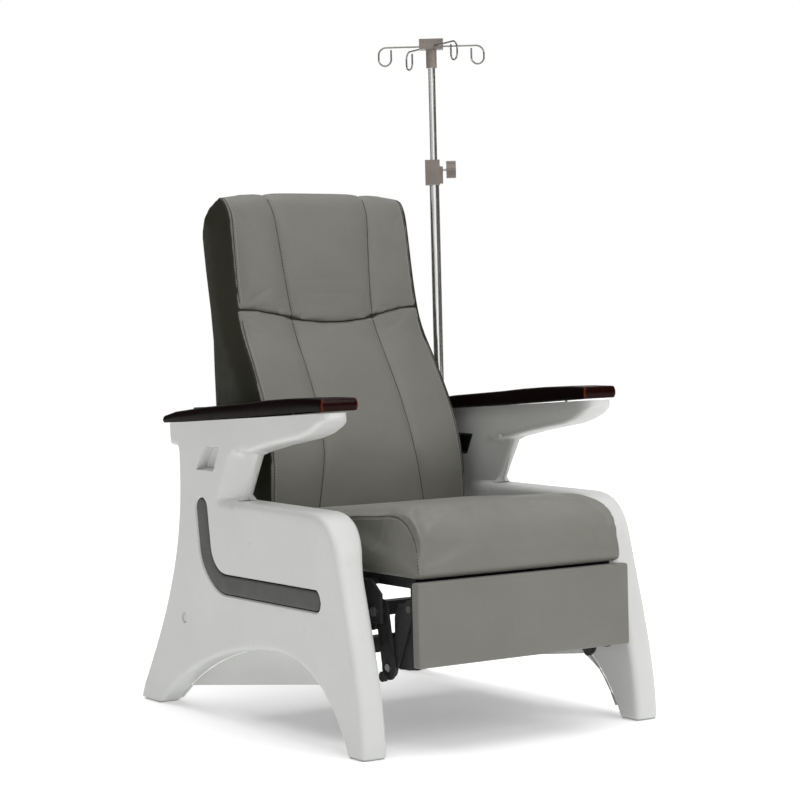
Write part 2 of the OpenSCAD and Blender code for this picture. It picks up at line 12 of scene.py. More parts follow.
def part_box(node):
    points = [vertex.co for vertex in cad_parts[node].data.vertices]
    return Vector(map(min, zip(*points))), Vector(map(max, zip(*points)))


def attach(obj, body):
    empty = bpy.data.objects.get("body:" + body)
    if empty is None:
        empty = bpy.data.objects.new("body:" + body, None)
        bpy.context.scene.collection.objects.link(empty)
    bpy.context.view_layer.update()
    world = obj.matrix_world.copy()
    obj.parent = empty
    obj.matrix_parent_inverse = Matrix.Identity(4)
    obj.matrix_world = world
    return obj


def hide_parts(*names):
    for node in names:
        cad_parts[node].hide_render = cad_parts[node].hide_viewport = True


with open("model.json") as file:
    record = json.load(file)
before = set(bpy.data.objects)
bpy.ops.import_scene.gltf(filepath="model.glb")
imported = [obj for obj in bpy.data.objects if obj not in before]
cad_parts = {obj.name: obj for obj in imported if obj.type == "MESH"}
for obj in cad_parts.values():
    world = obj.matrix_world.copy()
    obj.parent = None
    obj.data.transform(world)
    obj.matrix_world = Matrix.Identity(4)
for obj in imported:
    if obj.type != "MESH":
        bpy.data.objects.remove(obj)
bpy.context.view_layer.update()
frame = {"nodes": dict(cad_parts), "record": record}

# Shapes are written in the chair's own millimetres: x = 0 in the middle of the seat,
# y = 0 at the toe of the front feet, z = 0 on the floor. spot() puts them in the row frame.
seat_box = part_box("seat_cushion")
MID_X = (seat_box[0].x + seat_box[1].x) / 2
TOE_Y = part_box("outer_shell_right")[0].y
MM = 0.001


def spot(x, y, z):
    return Vector((MID_X + x * MM, TOE_Y + y * MM, z * MM))


def spots(xyz):
    return np.asarray(xyz, float) * MM + np.array([MID_X, TOE_Y, 0.0])


# ---------- outlines in two dimensions ----------


def bezier(a, b, c, d, n=12):
    a, b, c, d = (np.array(p, float) for p in (a, b, c, d))
    t = np.linspace(0, 1, n + 1)[1:, None]
    u = 1 - t
    return [tuple(p) for p in u**3 * a + 3 * u * u * t * b + 3 * u * t * t * c + t**3 * d]


def resample(line, step, closed=True):
    out = []
    n = len(line)
    for i in range(n if closed else n - 1):
        p, q = np.array(line[i], float), np.array(line[(i + 1) % n], float)
        k = max(1, round(np.linalg.norm(q - p) / step))
        out += [tuple(p + (q - p) * j / k) for j in range(k)]
    return out if closed else out + [tuple(line[-1])]


def distance(pts, line, closed=False):
    a = np.array(line, float)
    b = np.roll(a, -1, 0) if closed else a[1:]
    a = a if closed else a[:-1]
    best = np.full(len(pts), 1e9)
    for p, q in zip(a, b):
        v = q - p
        t = np.clip(((pts - p) @ v) / max(v @ v, 1e-12), 0, 1)
        best = np.minimum(best, np.linalg.norm(pts - p - t[:, None] * v, axis=1))
    return best


def inside(pts, line):
    y, z = pts[:, 0], pts[:, 1]
    hit = np.zeros(len(pts), bool)
    for i in range(len(line)):
        (y0, z0), (y1, z1) = line[i], line[(i + 1) % len(line)]
        if z0 != z1:
            hit ^= ((z0 > z) != (z1 > z)) & (y < (y1 - y0) * (z - z0) / (z1 - z0) + y0)
    return hit


def area(line):
    p = np.array(line, float)
    q = np.roll(p, -1, 0)
    return (p[:, 0] * q[:, 1] - q[:, 0] * p[:, 1]).sum() / 2


def anticlockwise(line):
    return list(line) if area(line) > 0 else list(line)[::-1]


def offset(line, d):
    """A closed outline's points moved inwards by d (outwards if negative), each along its own normal."""
    p = np.array(anticlockwise(line), float)
    v = np.roll(p, -1, 0) - np.roll(p, 1, 0)
    n = np.stack([-v[:, 1], v[:, 0]], 1) / np.linalg.norm(v, axis=1)[:, None]
    return p + n * d


def mitre(line, d):
    """A closed outline with straight sides, moved inwards by d with its corners kept."""
    p = np.array(anticlockwise(line), float)
    a, b = p - np.roll(p, 1, 0), np.roll(p, -1, 0) - p
    na = np.stack([-a[:, 1], a[:, 0]], 1) / np.linalg.norm(a, axis=1)[:, None]
    nb = np.stack([-b[:, 1], b[:, 0]], 1) / np.linalg.norm(b, axis=1)[:, None]
    return [tuple(q) for q in p + d * (na + nb) / (1 + (na * nb).sum(1))[:, None]]


def fillet(d, a, b):
    """Depth lost at distance d from an edge that is rounded a wide and b deep."""
    t = np.clip(1 - d / a, 0, 1)
    return b * (1 - np.sqrt(1 - t * t))


def smooth_max(a, b, k):
    h = np.clip(0.5 + 0.5 * (a - b) / k, 0, 1)
    return b * (1 - h) + a * h + k * h * (1 - h)


def smooth_step(v, lo, hi):
    t = np.clip((v - lo) / (hi - lo), 0, 1)
    return t * t * (3 - 2 * t)


# ---------- meshes ----------


def add(name, verts, faces, smooth=35, tidy=True):
    mesh = bpy.data.meshes.new(name)
    mesh.from_pydata([tuple(v) for v in verts], [], [tuple(f) for f in faces])
    bm = bmesh.new()
    bm.from_mesh(mesh)
    if tidy:
        bmesh.ops.remove_doubles(bm, verts=bm.verts, dist=1e-6)
        bmesh.ops.dissolve_degenerate(bm, edges=bm.edges, dist=1e-7)
    bmesh.ops.recalc_face_normals(bm, faces=bm.faces)
    bm.to_mesh(mesh)
    bm.free()
    obj = bpy.data.objects.new(name, mesh)
    bpy.context.scene.collection.objects.link(obj)
    shade(obj, smooth)
    return obj


def shade(obj, angle):
    obj.data.shade_smooth()
    if angle:
        obj.data.set_sharp_from_angle(angle=math.radians(angle))


def relief(name, outline, rings, grid, upper, lower, to_xyz, loops=(), holes=(), walls=1,
           crown=0.0, smooth=35):
    """A closed solid over a flat outline: upper(p) and lower(p) give its two heights at points p."""
    outline = anticlockwise(outline)
    pts = [tuple(p) for p in outline]
    n = len(pts)
    edges = [(i, (i + 1) % n) for i in range(n)]
    for loop in list(loops) + list(holes):
        k = len(pts)
        pts += [tuple(p) for p in loop]
        edges += [(k + i, k + (i + 1) % len(loop)) for i in range(len(loop))]
    fixed = np.array(pts)
    extra = []
    for d in rings:
        p = offset(outline, d)
        far = distance(p, outline, True)
        keep = (far > 0.93 * d) & inside(p, outline)
        thin = np.arange(len(p)) % (1 if d < 9 else 2) == 0
        extra.append(p[keep & thin])
    lo, hi = np.array(outline).min(0), np.array(outline).max(0)
    gy, gz = np.meshgrid(np.arange(lo[0], hi[0], grid), np.arange(lo[1], hi[1], grid))
    gy[::2] += grid / 2
    g = np.stack([gy.ravel(), gz.ravel()], 1)
    g = g[inside(g, outline)]
    g = g[distance(g, outline, True) > (max(rings) if rings else 0) + grid * 0.6]
    extra.append(g)
    extra = np.concatenate(extra)
    for loop in list(loops) + list(holes):
        extra = extra[distance(extra, loop, True) > 1.2]
    allpts = [Vector(p) for p in fixed] + [Vector(p) for p in extra]
    verts, _, faces = delaunay_2d_cdt(allpts, edges, [], 1, 1e-4)[:3]
    flat = np.array([tuple(v) for v in verts])
    for hole in holes:
        mid = np.array([flat[list(f)].mean(0) for f in faces])
        drop = inside(mid, hole)
        faces = [f for f, out in zip(faces, drop) if not out]
    used = sorted({i for f in faces for i in f})
    index = {v: i for i, v in enumerate(used)}
    flat = flat[used]
    faces = [[index[i] for i in f] for f in faces]
    count = {}
    for f in faces:
        for i in range(len(f)):
            e = (f[i], f[(i + 1) % len(f)])
            count[tuple(sorted(e))] = count.get(tuple(sorted(e)), 0) + 1
    rim = [e for e, c in count.items() if c == 1]
    up, low = upper(flat), lower(flat)
    m = len(flat)
    xyz = [to_xyz(flat, up), to_xyz(flat, low)]
    out_faces = [list(f) for f in faces] + [[i + m for i in f][::-1] for f in faces]
    rows = {}
    if walls > 1:
        ring_ids = sorted({i for e in rim for i in e})
        near = np.array(outline)
        v = np.roll(near, -1, 0) - np.roll(near, 1, 0)
        normal = np.stack([v[:, 1], -v[:, 0]], 1) / np.linalg.norm(v, axis=1)[:, None]
        nid = [int(np.argmin(((near - flat[i]) ** 2).sum(1))) for i in ring_ids]
        total = 2 * m
        for k in range(1, walls):
            t = k / walls
            out = crown * (1 - abs(2 * t - 1) ** 3)
            p = flat[ring_ids] + normal[nid] * out
            h = up[ring_ids] * (1 - t) + low[ring_ids] * t
            xyz.append(to_xyz(p, h))
            for j, i in enumerate(ring_ids):
                rows[(i, k)] = total + j
            total += len(ring_ids)
    for a, b in rim:
        for k in range(walls):
            a0 = a if k == 0 else rows[(a, k)]
            b0 = b if k == 0 else rows[(b, k)]
            a1 = a + m if k == walls - 1 else rows[(a, k + 1)]
            b1 = b + m if k == walls - 1 else rows[(b, k + 1)]
            out_faces.append([a0, b0, b1, a1])
    return add(name, spots(np.concatenate(xyz)), out_faces, smooth)


def side_map(s):
    """Side view points with heights along x, on the side s of the chair."""
    return lambda p, h: np.stack([s * h, p[:, 0], p[:, 1]], 1)


def plan_map(s):
    """Plan view points [x, y] with heights along z."""
    return lambda p, h: np.stack([s * p[:, 0], p[:, 1], h], 1)


def bevel(obj, width, segments=3, angle=38):
    mod = obj.modifiers.new("edges", "BEVEL")
    mod.width = width * MM
    mod.segments = segments
    mod.limit_method = "ANGLE"
    mod.angle_limit = math.radians(angle)
    mod.harden_normals = False
    mod.use_clamp_overlap = True


def bake(obj):
    deps = bpy.context.evaluated_depsgraph_get()
    mesh = bpy.data.meshes.new_from_object(obj.evaluated_get(deps))
    obj.modifiers.clear()
    old = obj.data
    obj.data = mesh
    bpy.data.meshes.remove(old)


def loft(name, sections):
    """A closed skin through rings of the same number of points, capped at both ends."""
    n = len(sections[0])
    verts = np.concatenate([np.array(sec, float) for sec in sections])
    faces = []
    for k in range(len(sections) - 1):
        for i in range(n):
            j = (i + 1) % n
            faces.append((k * n + i, k * n + j, (k + 1) * n + j, (k + 1) * n + i))
    faces.append(tuple(range(n - 1, -1, -1)))
    faces.append(tuple((len(sections) - 1) * n + i for i in range(n)))
    return add(name, spots(verts), faces, 0)


# ---------- materials ----------


class Look:
    """A procedural material, built on object coordinates in metres."""

    def __init__(self, name, rough=0.5, metal=0.0, **sockets):
        self.mat = bpy.data.materials.new(name)
        self.mat.use_nodes = True
        self.tree = self.mat.node_tree
        self.bsdf = self.tree.nodes["Principled BSDF"]
        self.bsdf.inputs["Metallic"].default_value = metal
        self.bsdf.inputs["Roughness"].default_value = rough
        for key, value in sockets.items():
            self.bsdf.inputs[key.replace("_", " ")].default_value = value
        self.coords = self.node("ShaderNodeTexCoord").outputs["Object"]
        self.normal = None

    def node(self, kind, **values):
        n = self.tree.nodes.new(kind)
        for key, value in values.items():
            if hasattr(n, key):
                setattr(n, key, value)
            else:
                n.inputs[key.replace("_", " ")].default_value = value
        return n

    def link(self, a, b):
        self.tree.links.new(a, b)

    def stretched(self, scale):
        m = self.node("ShaderNodeMapping")
        m.inputs["Scale"].default_value = scale
        self.link(self.coords, m.inputs["Vector"])
        return m.outputs["Vector"]

    def noise(self, scale, detail=3.0, stretch=None, distortion=0.0):
        n = self.node("ShaderNodeTexNoise", Scale=scale, Detail=detail, Distortion=distortion)
        self.link(self.stretched(stretch) if stretch else self.coords, n.inputs["Vector"])
        return n.outputs["Fac"]

    def cells(self, scale, feature="F1"):
        n = self.node("ShaderNodeTexVoronoi", feature=feature, Scale=scale)
        self.link(self.coords, n.inputs["Vector"])
        return n.outputs["Distance"]

    def ramp(self, fac, stops):
        n = self.node("ShaderNodeValToRGB")
        e = n.color_ramp.elements
        e[0].position, e[0].color = stops[0][0], (*stops[0][1], 1)
        e[1].position, e[1].color = stops[-1][0], (*stops[-1][1], 1)
        for pos, col in stops[1:-1]:
            x = e.new(pos)
            x.color = (*col, 1)
        self.link(fac, n.inputs["Fac"])
        return n.outputs["Color"]

    def mix(self, fac, a, b, mode="MIX"):
        n = self.node("ShaderNodeMix", data_type="RGBA", blend_type=mode)
        for value, socket in ((fac, n.inputs[0]), (a, n.inputs[6]), (b, n.inputs[7])):
            if isinstance(value, bpy.types.NodeSocket):
                self.link(value, socket)
            else:
                socket.default_value = value if isinstance(value, float) else (*value, 1)
        return n.outputs[2]

    def color(self, socket):
        self.link(socket, self.bsdf.inputs["Base Color"])
        return self

    def rough(self, fac, lo, hi, a=0.3, b=0.7):
        n = self.node("ShaderNodeMapRange", From_Min=a, From_Max=b, To_Min=lo, To_Max=hi)
        self.link(fac, n.inputs["Value"])
        self.link(n.outputs["Result"], self.bsdf.inputs["Roughness"])
        return self

    def bump(self, height, distance, strength=1.0):
        n = self.node("ShaderNodeBump", Distance=distance, Strength=strength)
        self.link(height, n.inputs["Height"])
        if self.normal:
            self.link(self.normal, n.inputs["Normal"])
        self.normal = n.outputs["Normal"]
        self.link(self.normal, self.bsdf.inputs["Normal"])
        return self

    def edge(self, lo=0.5, hi=0.6):
        g = self.node("ShaderNodeNewGeometry")
        n = self.node("ShaderNodeMapRange", From_Min=lo, From_Max=hi)
        self.link(g.outputs["Pointiness"], n.inputs["Value"])
        return n.outputs["Result"]


def leather(name, dark, light, rough=(0.42, 0.56), sheen=0.15, specular=0.42):
    look = Look(name, Sheen_Weight=sheen, Sheen_Roughness=0.45, Specular_IOR_Level=specular)
    tone = look.ramp(look.noise(7, 4, distortion=0.4), [(0.3, dark), (0.75, light)])
    fine = look.ramp(look.cells(820), [(0.0, (0.82, 0.82, 0.82)), (0.55, (1, 1, 1))])
    look.color(look.mix(1.0, tone, fine, "MULTIPLY"))
    look.rough(look.noise(38, 4), *rough)
    look.bump(look.noise(24, 5, distortion=0.6), 0.0014, 0.30)
    look.bump(look.cells(820), 0.00028, 0.55)
    look.bump(look.noise(2300, 2), 0.0001, 0.4)
    return look.mat


def shell(name):
    look = Look(name, Specular_IOR_Level=0.45, Coat_Weight=0.08, Coat_Roughness=0.3)
    tone = look.ramp(look.noise(5, 4), [(0.35, (0.615, 0.623, 0.604)), (0.7, (0.652, 0.658, 0.639))])
    scuff = look.ramp(look.noise(60, 6), [(0.62, (1, 1, 1)), (0.80, (0.955, 0.95, 0.94))])
    look.color(look.mix(1.0, tone, scuff, "MULTIPLY"))
    look.rough(look.noise(90, 5), 0.34, 0.48)
    look.bump(look.noise(420, 3), 0.00012, 0.5)
    look.bump(look.noise(9, 2), 0.0012, 0.12)
    return look.mat


def painted(name, dark, light, rough=(0.38, 0.55), grain=1400):
    look = Look(name, Specular_IOR_Level=0.12)
    tone = look.ramp(look.noise(14, 4), [(0.35, dark), (0.7, light)])
    worn = look.edge(0.53, 0.60)
    look.color(look.mix(worn, tone, tuple(min(1, c * 2.2 + 0.03) for c in light)))
    look.rough(look.noise(70, 4), *rough)
    look.bump(look.noise(grain, 3), 0.0001, 0.5)
    return look.mat


def metal(name, color, rough=(0.08, 0.16), brushed=None, metallic=1.0):
    look = Look(name, metal=metallic)
    n = look.noise(300 if brushed else 40, 4, stretch=brushed)
    light = tuple(min(1, c * 1.08) for c in color)
    look.color(look.ramp(n, [(0.3, tuple(c * 0.9 for c in color)), (0.7, light)]))
    look.rough(n, *rough)
    look.bump(look.noise(700, 3, stretch=brushed), 0.00003, 0.35)
    return look.mat


def moulded(name, dark, light, rough=(0.42, 0.55), grain=900, specular=0.5):
    look = Look(name, Specular_IOR_Level=specular)
    look.color(look.ramp(look.noise(30, 4), [(0.35, dark), (0.7, light)]))
    look.rough(look.noise(120, 4), *rough)
    look.bump(look.cells(grain), 0.00015, 0.35)
    return look.mat


def lacquer(name, dark, light, coat, rough, specular, rim=None):
    look = Look(name, Coat_Weight=coat, Coat_Roughness=0.1, Specular_IOR_Level=specular)
    grain = look.noise(34, 6, stretch=(9, 0.9, 9), distortion=1.2)
    pores = look.noise(260, 4, stretch=(3, 0.22, 3))
    tone = look.ramp(grain, [(0.30, dark), (0.55, light), (0.75, dark)])
    tone = look.mix(1.0, tone, look.ramp(pores, [(0.3, (0.6, 0.6, 0.6)), (0.55, (1, 1, 1))]), "MULTIPLY")
    # On convex edges the colour turns to the last colour given: a painted glint of light along the edges
    look.color(look.mix(look.edge(0.52, 0.58), tone, rim) if rim else tone)
    look.rough(look.noise(50, 4), *rough)
    look.bump(pores, 0.00012, 0.25)
    return look.mat


def plain_wood(name, dark, light):
    look = Look(name, Specular_IOR_Level=0.35)
    look.color(look.ramp(look.noise(20, 6, stretch=(1, 12, 1), distortion=0.8), [(0.3, dark), (0.7, light)]))
    look.rough(look.noise(80, 4), 0.5, 0.68)
    look.bump(look.noise(220, 4, stretch=(1, 9, 1)), 0.0002, 0.4)
    return look.mat


WHITE = shell("shell_white")
GREY = leather("leather_grey", (0.160, 0.158, 0.136), (0.180, 0.177, 0.153))
DARK = leather("leather_dark", (0.016, 0.016, 0.008), (0.023, 0.023, 0.011), (0.46, 0.58), 0.02, 0.22)
TRIM = leather("leather_trim", (0.062, 0.063, 0.058), (0.080, 0.081, 0.075), (0.5, 0.62), 0.05)
THREAD = moulded("thread_grey", (0.36, 0.355, 0.33), (0.44, 0.435, 0.405), (0.6, 0.7), 2600)
# Near-black line laid in the seam valleys: painted shade of the seam creases
SEAM_SHADE = moulded("seam_shade_dark", (0.012, 0.012, 0.010), (0.022, 0.021, 0.018), (0.6, 0.7), 2600)
BLACK = painted("steel_black", (0.0025, 0.0025, 0.0025), (0.006, 0.006, 0.006), (0.45, 0.6))
BOARD = lacquer("lacquer_dark", (0.0018, 0.0006, 0.0004), (0.0055, 0.0014, 0.0010), 0.0, (0.34, 0.44), 0.04)
# The board's front face; its warm red-brown edge colour is a painted glint
FRONT = lacquer("lacquer_front", (0.003, 0.0006, 0.0005), (0.016, 0.002, 0.0012), 0.0, (0.2, 0.3), 0.08,
                (0.30, 0.055, 0.02))
PLASTIC = moulded("plastic_dark", (0.012, 0.016, 0.016), (0.02, 0.026, 0.026))
# Near-black strip that lines the band's groove: painted shade of the gap
GROOVE_SHADE = moulded("groove_shade_dark", (0.003, 0.003, 0.003), (0.006, 0.006, 0.006), (0.6, 0.7), 900, 0.1)
GLIDE = moulded("nylon_pale", (0.42, 0.43, 0.43), (0.5, 0.51, 0.51))
ZINC = metal("steel_zinc", (0.52, 0.52, 0.53), (0.25, 0.38), (1, 1, 8))
CHROME = metal("chrome", (0.88, 0.87, 0.84), (0.08, 0.15), (1, 1, 0.05), 0.9)
# Darker copy of the chrome for the thin hooks: painted shade for the dark surroundings that they mirror
CHROME_SHADED = metal("chrome_shaded", (0.26, 0.255, 0.23), (0.16, 0.26))
TAUPE = moulded("plastic_taupe", (0.185, 0.155, 0.135), (0.23, 0.195, 0.17), (0.34, 0.46))
RUBBER = moulded("rubber_black", (0.010, 0.010, 0.010), (0.016, 0.016, 0.016), (0.6, 0.75))
# Near-black board under the seat: painted shade, so that it reads as the shadowed gap between seat and leg
# rest
DECK_SHADE_BLACK = plain_wood("plywood_black", (0.010, 0.010, 0.010), (0.018, 0.018, 0.018))
FOAM = moulded("foam_core", (0.55, 0.48, 0.30), (0.62, 0.55, 0.36), (0.8, 0.9), 500)


def dress(obj, *mats):
    obj.data.materials.clear()
    for m in mats:
        obj.data.materials.append(m)
    return obj


def finish_piece(obj, body, nodes=(), mat=None):
    if mat:
        dress(obj, mat)
    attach(obj, body)
    if nodes:
        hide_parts(*nodes)
    return obj


# ---------- side panels ----------

# Distances from the chair's middle: outer face, inner face at the arm and at the leg, face of the web.
# Between the two THICKENS depths the panel goes from leg to arm thickness.
OUT, ARM_IN, LEG_IN, WEB_OUT = 350.0, 280.0, 294.0, 300.0
THICKENS = (320, 445)
REAR = [(930, 4)] + bezier((927, 18), (800, 190), (718, 330), (718, 500), 26)
REAR += [(718, 545)] + bezier((718, 545), (718, 557), (722, 562), (730, 562), 5)
REAR += [(746, 562)] + bezier((746, 562), (754, 562), (757, 568), (758, 578), 5) + [(759, 609)]
TOP = [(759, 609), (121, 642)]
TIP = [(121, 642), (121, 633), (129, 626), (149, 612), (177, 600), (217, 590), (272, 582), (338, 572)]
TIP += [(417, 557)]
NECK = [(417, 557), (434, 531), (454, 495), (474, 459), (482, 456)]
BODY = [(482, 456), (172, 452.5)] + bezier((172, 452.5), (122, 451), (94, 424), (78, 380), 12)
BODY += bezier((78, 380), (50, 270), (5, 140), (0, 20), 26) + [(0, 4)]
ARCH = [(61, 4)] + bezier((61, 4), (100, 90), (190, 172), (330, 169), 26)
ARCH += bezier((330, 169), (540, 160), (715, 95), (838, 4), 28)
PANEL = REAR + TOP[1:] + TIP[1:] + NECK[1:] + BODY[1:] + ARCH
BODY_TOP = [(760, 457), (482, 457)] + BODY[1:]
ARM_LOW = TIP + [(600, 528), (800, 500)]
POCKET = [(562, 515), (640, 515), (603, 564), (535, 564)]
POCKET_DEPTH = 22.0
# Leather band: width, how much further its leg reaches rearwards, groove depth, height of the lip
SWOOSH_W = 42.0
LEG_WIDER = 9.0
GROOVE = 4.0
LIP = 1.6
# Pole: its place in plan view, then radii of its socket and bore
POLE = (300.5, 697.0)
SOCKET_R = 13.5
BORE_R = 13.6
BORE_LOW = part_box("pole_lower_tube")[0].z / MM - 30
BORE_HIGH = 640.0
# Plug in the bolt hole of each outer face: place in side view, radius of its pit, depth of the pit
plug_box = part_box("side_plugs")
PLUG = (((plug_box[0].y + plug_box[1].y) / 2 - TOE_Y) / MM, (plug_box[0].z + plug_box[1].z) / 2 / MM)
PLUG_R = (plug_box[1].z - plug_box[0].z) / 2 / MM + 0.6
PIT = 4.5
PIT_EDGE = 1.6


def round_corners(line, radii, n=5):
    out = []
    for i, p in enumerate(line):
        r = radii[i] if isinstance(radii, tuple) else radii
        p, a, b = (np.array(v, float) for v in (p, line[i - 1], line[(i + 1) % len(line)]))
        u, v = (a - p) / np.linalg.norm(a - p), (b - p) / np.linalg.norm(b - p)
        out += [tuple(p + u * r)] + bezier(p + u * r, p + u * r * 0.4, p + v * r * 0.4, p + v * r, n)
    return out


def swoosh_sides(w):
    """The inlaid band's rear and front sides: a level run w wide, one bend and a wider leaning leg."""
    c, r, lean = np.array((520.0, 369.0)), 85.0, math.radians(8)
    line = [np.array((y, c[1] - r)) for y in np.linspace(161, c[0], 40)]
    turn = np.linspace(0, math.pi / 2 - lean, 24)[1:]
    line += [c + r * np.array((math.sin(a), -math.cos(a))) for a in turn]
    way = np.array((math.sin(lean), math.cos(lean)))
    line += [line[-1] + way * t for t in np.linspace(0, 80, 9)[1:]]
    line = np.array(line)
    t = np.gradient(line, axis=0)
    t /= np.linalg.norm(t, axis=1)[:, None]
    n = np.stack([-t[:, 1], t[:, 0]], 1) * w / 2
    wider = smooth_step(line[:, 1], c[1] - r, c[1] - 10)[:, None] * LEG_WIDER
    return line - n * (1 + wider * 2 / w), line + n, t


def swoosh(w, cap=0.85):
    """Closed outline of the inlaid band, w wide along its level run."""
    rear, front, t = swoosh_sides(w)
    out = [tuple(p) for p in rear]
    for ends, way in (((rear[-1], front[-1]), t[-1]), ((front[0], rear[0]), -t[0])):
        mid, arm = (ends[0] + ends[1]) / 2, (ends[0] - ends[1]) / 2
        for a in np.linspace(0, math.pi, 12)[1:-1]:
            out.append(tuple(mid + arm * math.cos(a) + way * np.linalg.norm(arm) * cap * math.sin(a)))
        if way @ t[-1] > 0.5:
            out += [tuple(p) for p in front[::-1]]
    return out


# The neck's front edge from its foot on the leg to the arm, and the width of the slope behind it
NECK_FOOT, NECK_HEAD = np.array((478.0, 459.0)), np.array((417.0, 557.0))
NECK_RUN = (NECK_HEAD - NECK_FOOT) / np.linalg.norm(NECK_HEAD - NECK_FOOT)
NECK_SIDE = np.array((NECK_RUN[1], -NECK_RUN[0]))
NECK_SLOPE = 61.0


def part_depth(signed, a, b, fall=18.0):
    """Depth of a part's face behind its full face, from the signed distance to the part's edge."""
    return np.where(signed > 0, fillet(signed, a, b), b - fall * signed)


def panel_depth(p, chamfer, tip_len):
    """Depth of a panel's face behind its full face, the same way for both faces."""
    y, z = p[:, 0], p[:, 1]
    body = distance(p, BODY_TOP) * np.where(z > 457, -1, 1)
    neck = (p - NECK_FOOT) @ NECK_SIDE
    arm_line = np.interp(y, [q[0] for q in ARM_LOW[1:]], [q[1] for q in ARM_LOW[1:]])
    arm = distance(p, ARM_LOW) * np.where(z < arm_line, -1, 1)
    slope = chamfer * np.clip(1 - neck / NECK_SLOPE, -1, 6)
    slope = smooth_max(slope, np.zeros(len(p)), 3) + fillet(np.clip(neck, 0, 99), 9, 6)
    depth = -smooth_max(smooth_max(-part_depth(body, 13, 15), -slope, 9), -part_depth(arm, 9, 14), 6)
    depth = np.maximum(depth, 0)
    tip = np.where(z > 560, fillet(y - 121, tip_len, chamfer), 0)
    depth = np.maximum(depth, tip)
    depth = np.maximum(depth, fillet(distance(p, REAR), 8, 8))
    depth = np.maximum(depth, fillet(distance(p, ARCH), 12, 11))
    return np.maximum(depth, fillet(z - 4, 3, 3))


groove_line = swoosh(SWOOSH_W + 1.2)
groove_rear, groove_front, _ = swoosh_sides(SWOOSH_W + 1.2)
pocket_line = resample(round_corners(POCKET, 7), 5)
slot_line = resample(round_corners(mitre(POCKET, 3), 2), 5)


def outer_face(p):
    x = OUT - panel_depth(p, 25.0, 32.0)
    d = distance(p, pocket_line, True) * np.where(inside(p, pocket_line), 1, -1)
    x = np.minimum(x, OUT - POCKET_DEPTH * smooth_step(d, -1.2, 4.0))
    d = distance(p, groove_line, True) * np.where(inside(p, groove_line), 1, -1)
    rear = smooth_step(distance(p, groove_front) - distance(p, groove_rear), -14, 14)
    x = x + rear * LIP * smooth_step(d, -9.0, -6.0)
    x = np.minimum(x, OUT + LIP - (GROOVE + LIP) * smooth_step(d, -1.0 - 4.0 * rear, 0.6))
    r = np.linalg.norm(p - np.array(PLUG), axis=1)
    return np.minimum(x, OUT - PIT * (1 - smooth_step(r, PLUG_R, PLUG_R + PIT_EDGE)))


def inner_face(p):
    flat = LEG_IN - (LEG_IN - ARM_IN) * smooth_step(p[:, 1], *THICKENS)
    x = flat + panel_depth(p, 26.0, 38.0)
    d = distance(p, slot_line, True) * np.where(inside(p, slot_line), 1, -1)
    return np.maximum(x, ARM_IN + 21 * smooth_step(d, -0.4, 0.4))


# Edge loops that keep the mesh crisp where the neck's slope begins and where it meets the leg
crease = [NECK_FOOT + NECK_RUN * a + NECK_SIDE * b
          for a, b in ((-36, 59.5), (-36, 62.5), (88, 62.5), (88, 59.5))]
crease = resample([tuple(p) for p in anticlockwise(crease)], 4)
foot = resample([(488, 454), (543, 454), (543, 460), (488, 460)], 4)


def circle(mid, r, n=28):
    turn = np.linspace(0, 2 * math.pi, n + 1)[:-1]
    return [(mid[0] + r * math.cos(a), mid[1] + r * math.sin(a)) for a in turn]


def make_panel(s, name):
    loops = [pocket_line, groove_line, circle(PLUG, PLUG_R), circle(PLUG, PLUG_R + PIT_EDGE), crease, foot]
    loops += [[tuple(q) for q in offset(groove_line, d)] for d in (0.7, -1.2, -3.0, -5.0, -7.0, -9.0)]
    loops += [[tuple(q) for q in offset(pocket_line, d)] for d in (-1.2, 1.4, 4.0)]
    outline = resample(PANEL, 6)
    obj = relief(name, outline, (0.5, 1.6, 3.2, 5.5, 8.5, 12.5), 8.5, outer_face, inner_face,
                 side_map(s), loops, smooth=42)
    return obj


def bore_pole(obj, s):
    """Cuts the upright hole that the pole stands and slides in."""
    rings = [[(x, y, z) for x, y in circle((s * POLE[0], POLE[1]), BORE_R, 32)]
             for z in (BORE_LOW, BORE_HIGH)]
    cutter = loft("cutter", rings)
    mod = obj.modifiers.new("bore", "BOOLEAN")
    mod.operation = "DIFFERENCE"
    mod.solver = "EXACT"
    mod.object = cutter
    bake(obj)
    bpy.data.objects.remove(cutter)
    shade(obj, 42)


WEB = [(84, 46), (119, 89), (171, 118), (811, 37), (836, 6)]
for s, side in ((-1, "left"), (1, "right")):
    obj = make_panel(s, "side_panel_" + side)
    bore_pole(obj, s)
    finish_piece(obj, "frame", ["outer_shell_" + side], WHITE)
    # The thin inner skin that closes the arch recess
    web = resample(ARCH[2:-2] + WEB[::-1], 8)
    obj = relief("inner_skin_" + side, web, (1.0, 2.5), 14,
                 lambda p: WEB_OUT - fillet(distance(p, WEB), 2.5, 1.5),
                 lambda p: LEG_IN + fillet(distance(p, WEB), 2.5, 1.5), side_map(s))
    finish_piece(obj, "frame", ["inner_cover_" + side], WHITE)
    # Near-black strip in the groove, painted shade of the gap round the band, and the padded leather band
    # that the groove holds
    band = swoosh(SWOOSH_W + 0.4)
    obj = relief("band_groove_shade_" + side, band, (0.6, 1.4), 12,
                 lambda p: OUT - 2.8 - fillet(distance(p, band, True), 1.2, 0.5),
                 lambda p: np.full(len(p), OUT - GROOVE + 0.05), side_map(s))
    finish_piece(obj, "frame", (), GROOVE_SHADE)
    inlay = swoosh(SWOOSH_W - 4.6)
    obj = relief("band_leather_" + side, inlay, (0.5, 1.2, 2.2, 4.0, 7.0, 11.0), 6,
                 lambda p: OUT - 0.6 - fillet(distance(p, inlay, True), 5.0, 2.4) - 0.5 * np.exp(
                     -((distance(p, inlay, True) - 5.0) / 0.9) ** 2),
                 lambda p: np.full(len(p), OUT - 3.4), side_map(s))
    finish_piece(obj, "frame", ["swoosh_trim_" + side], TRIM)

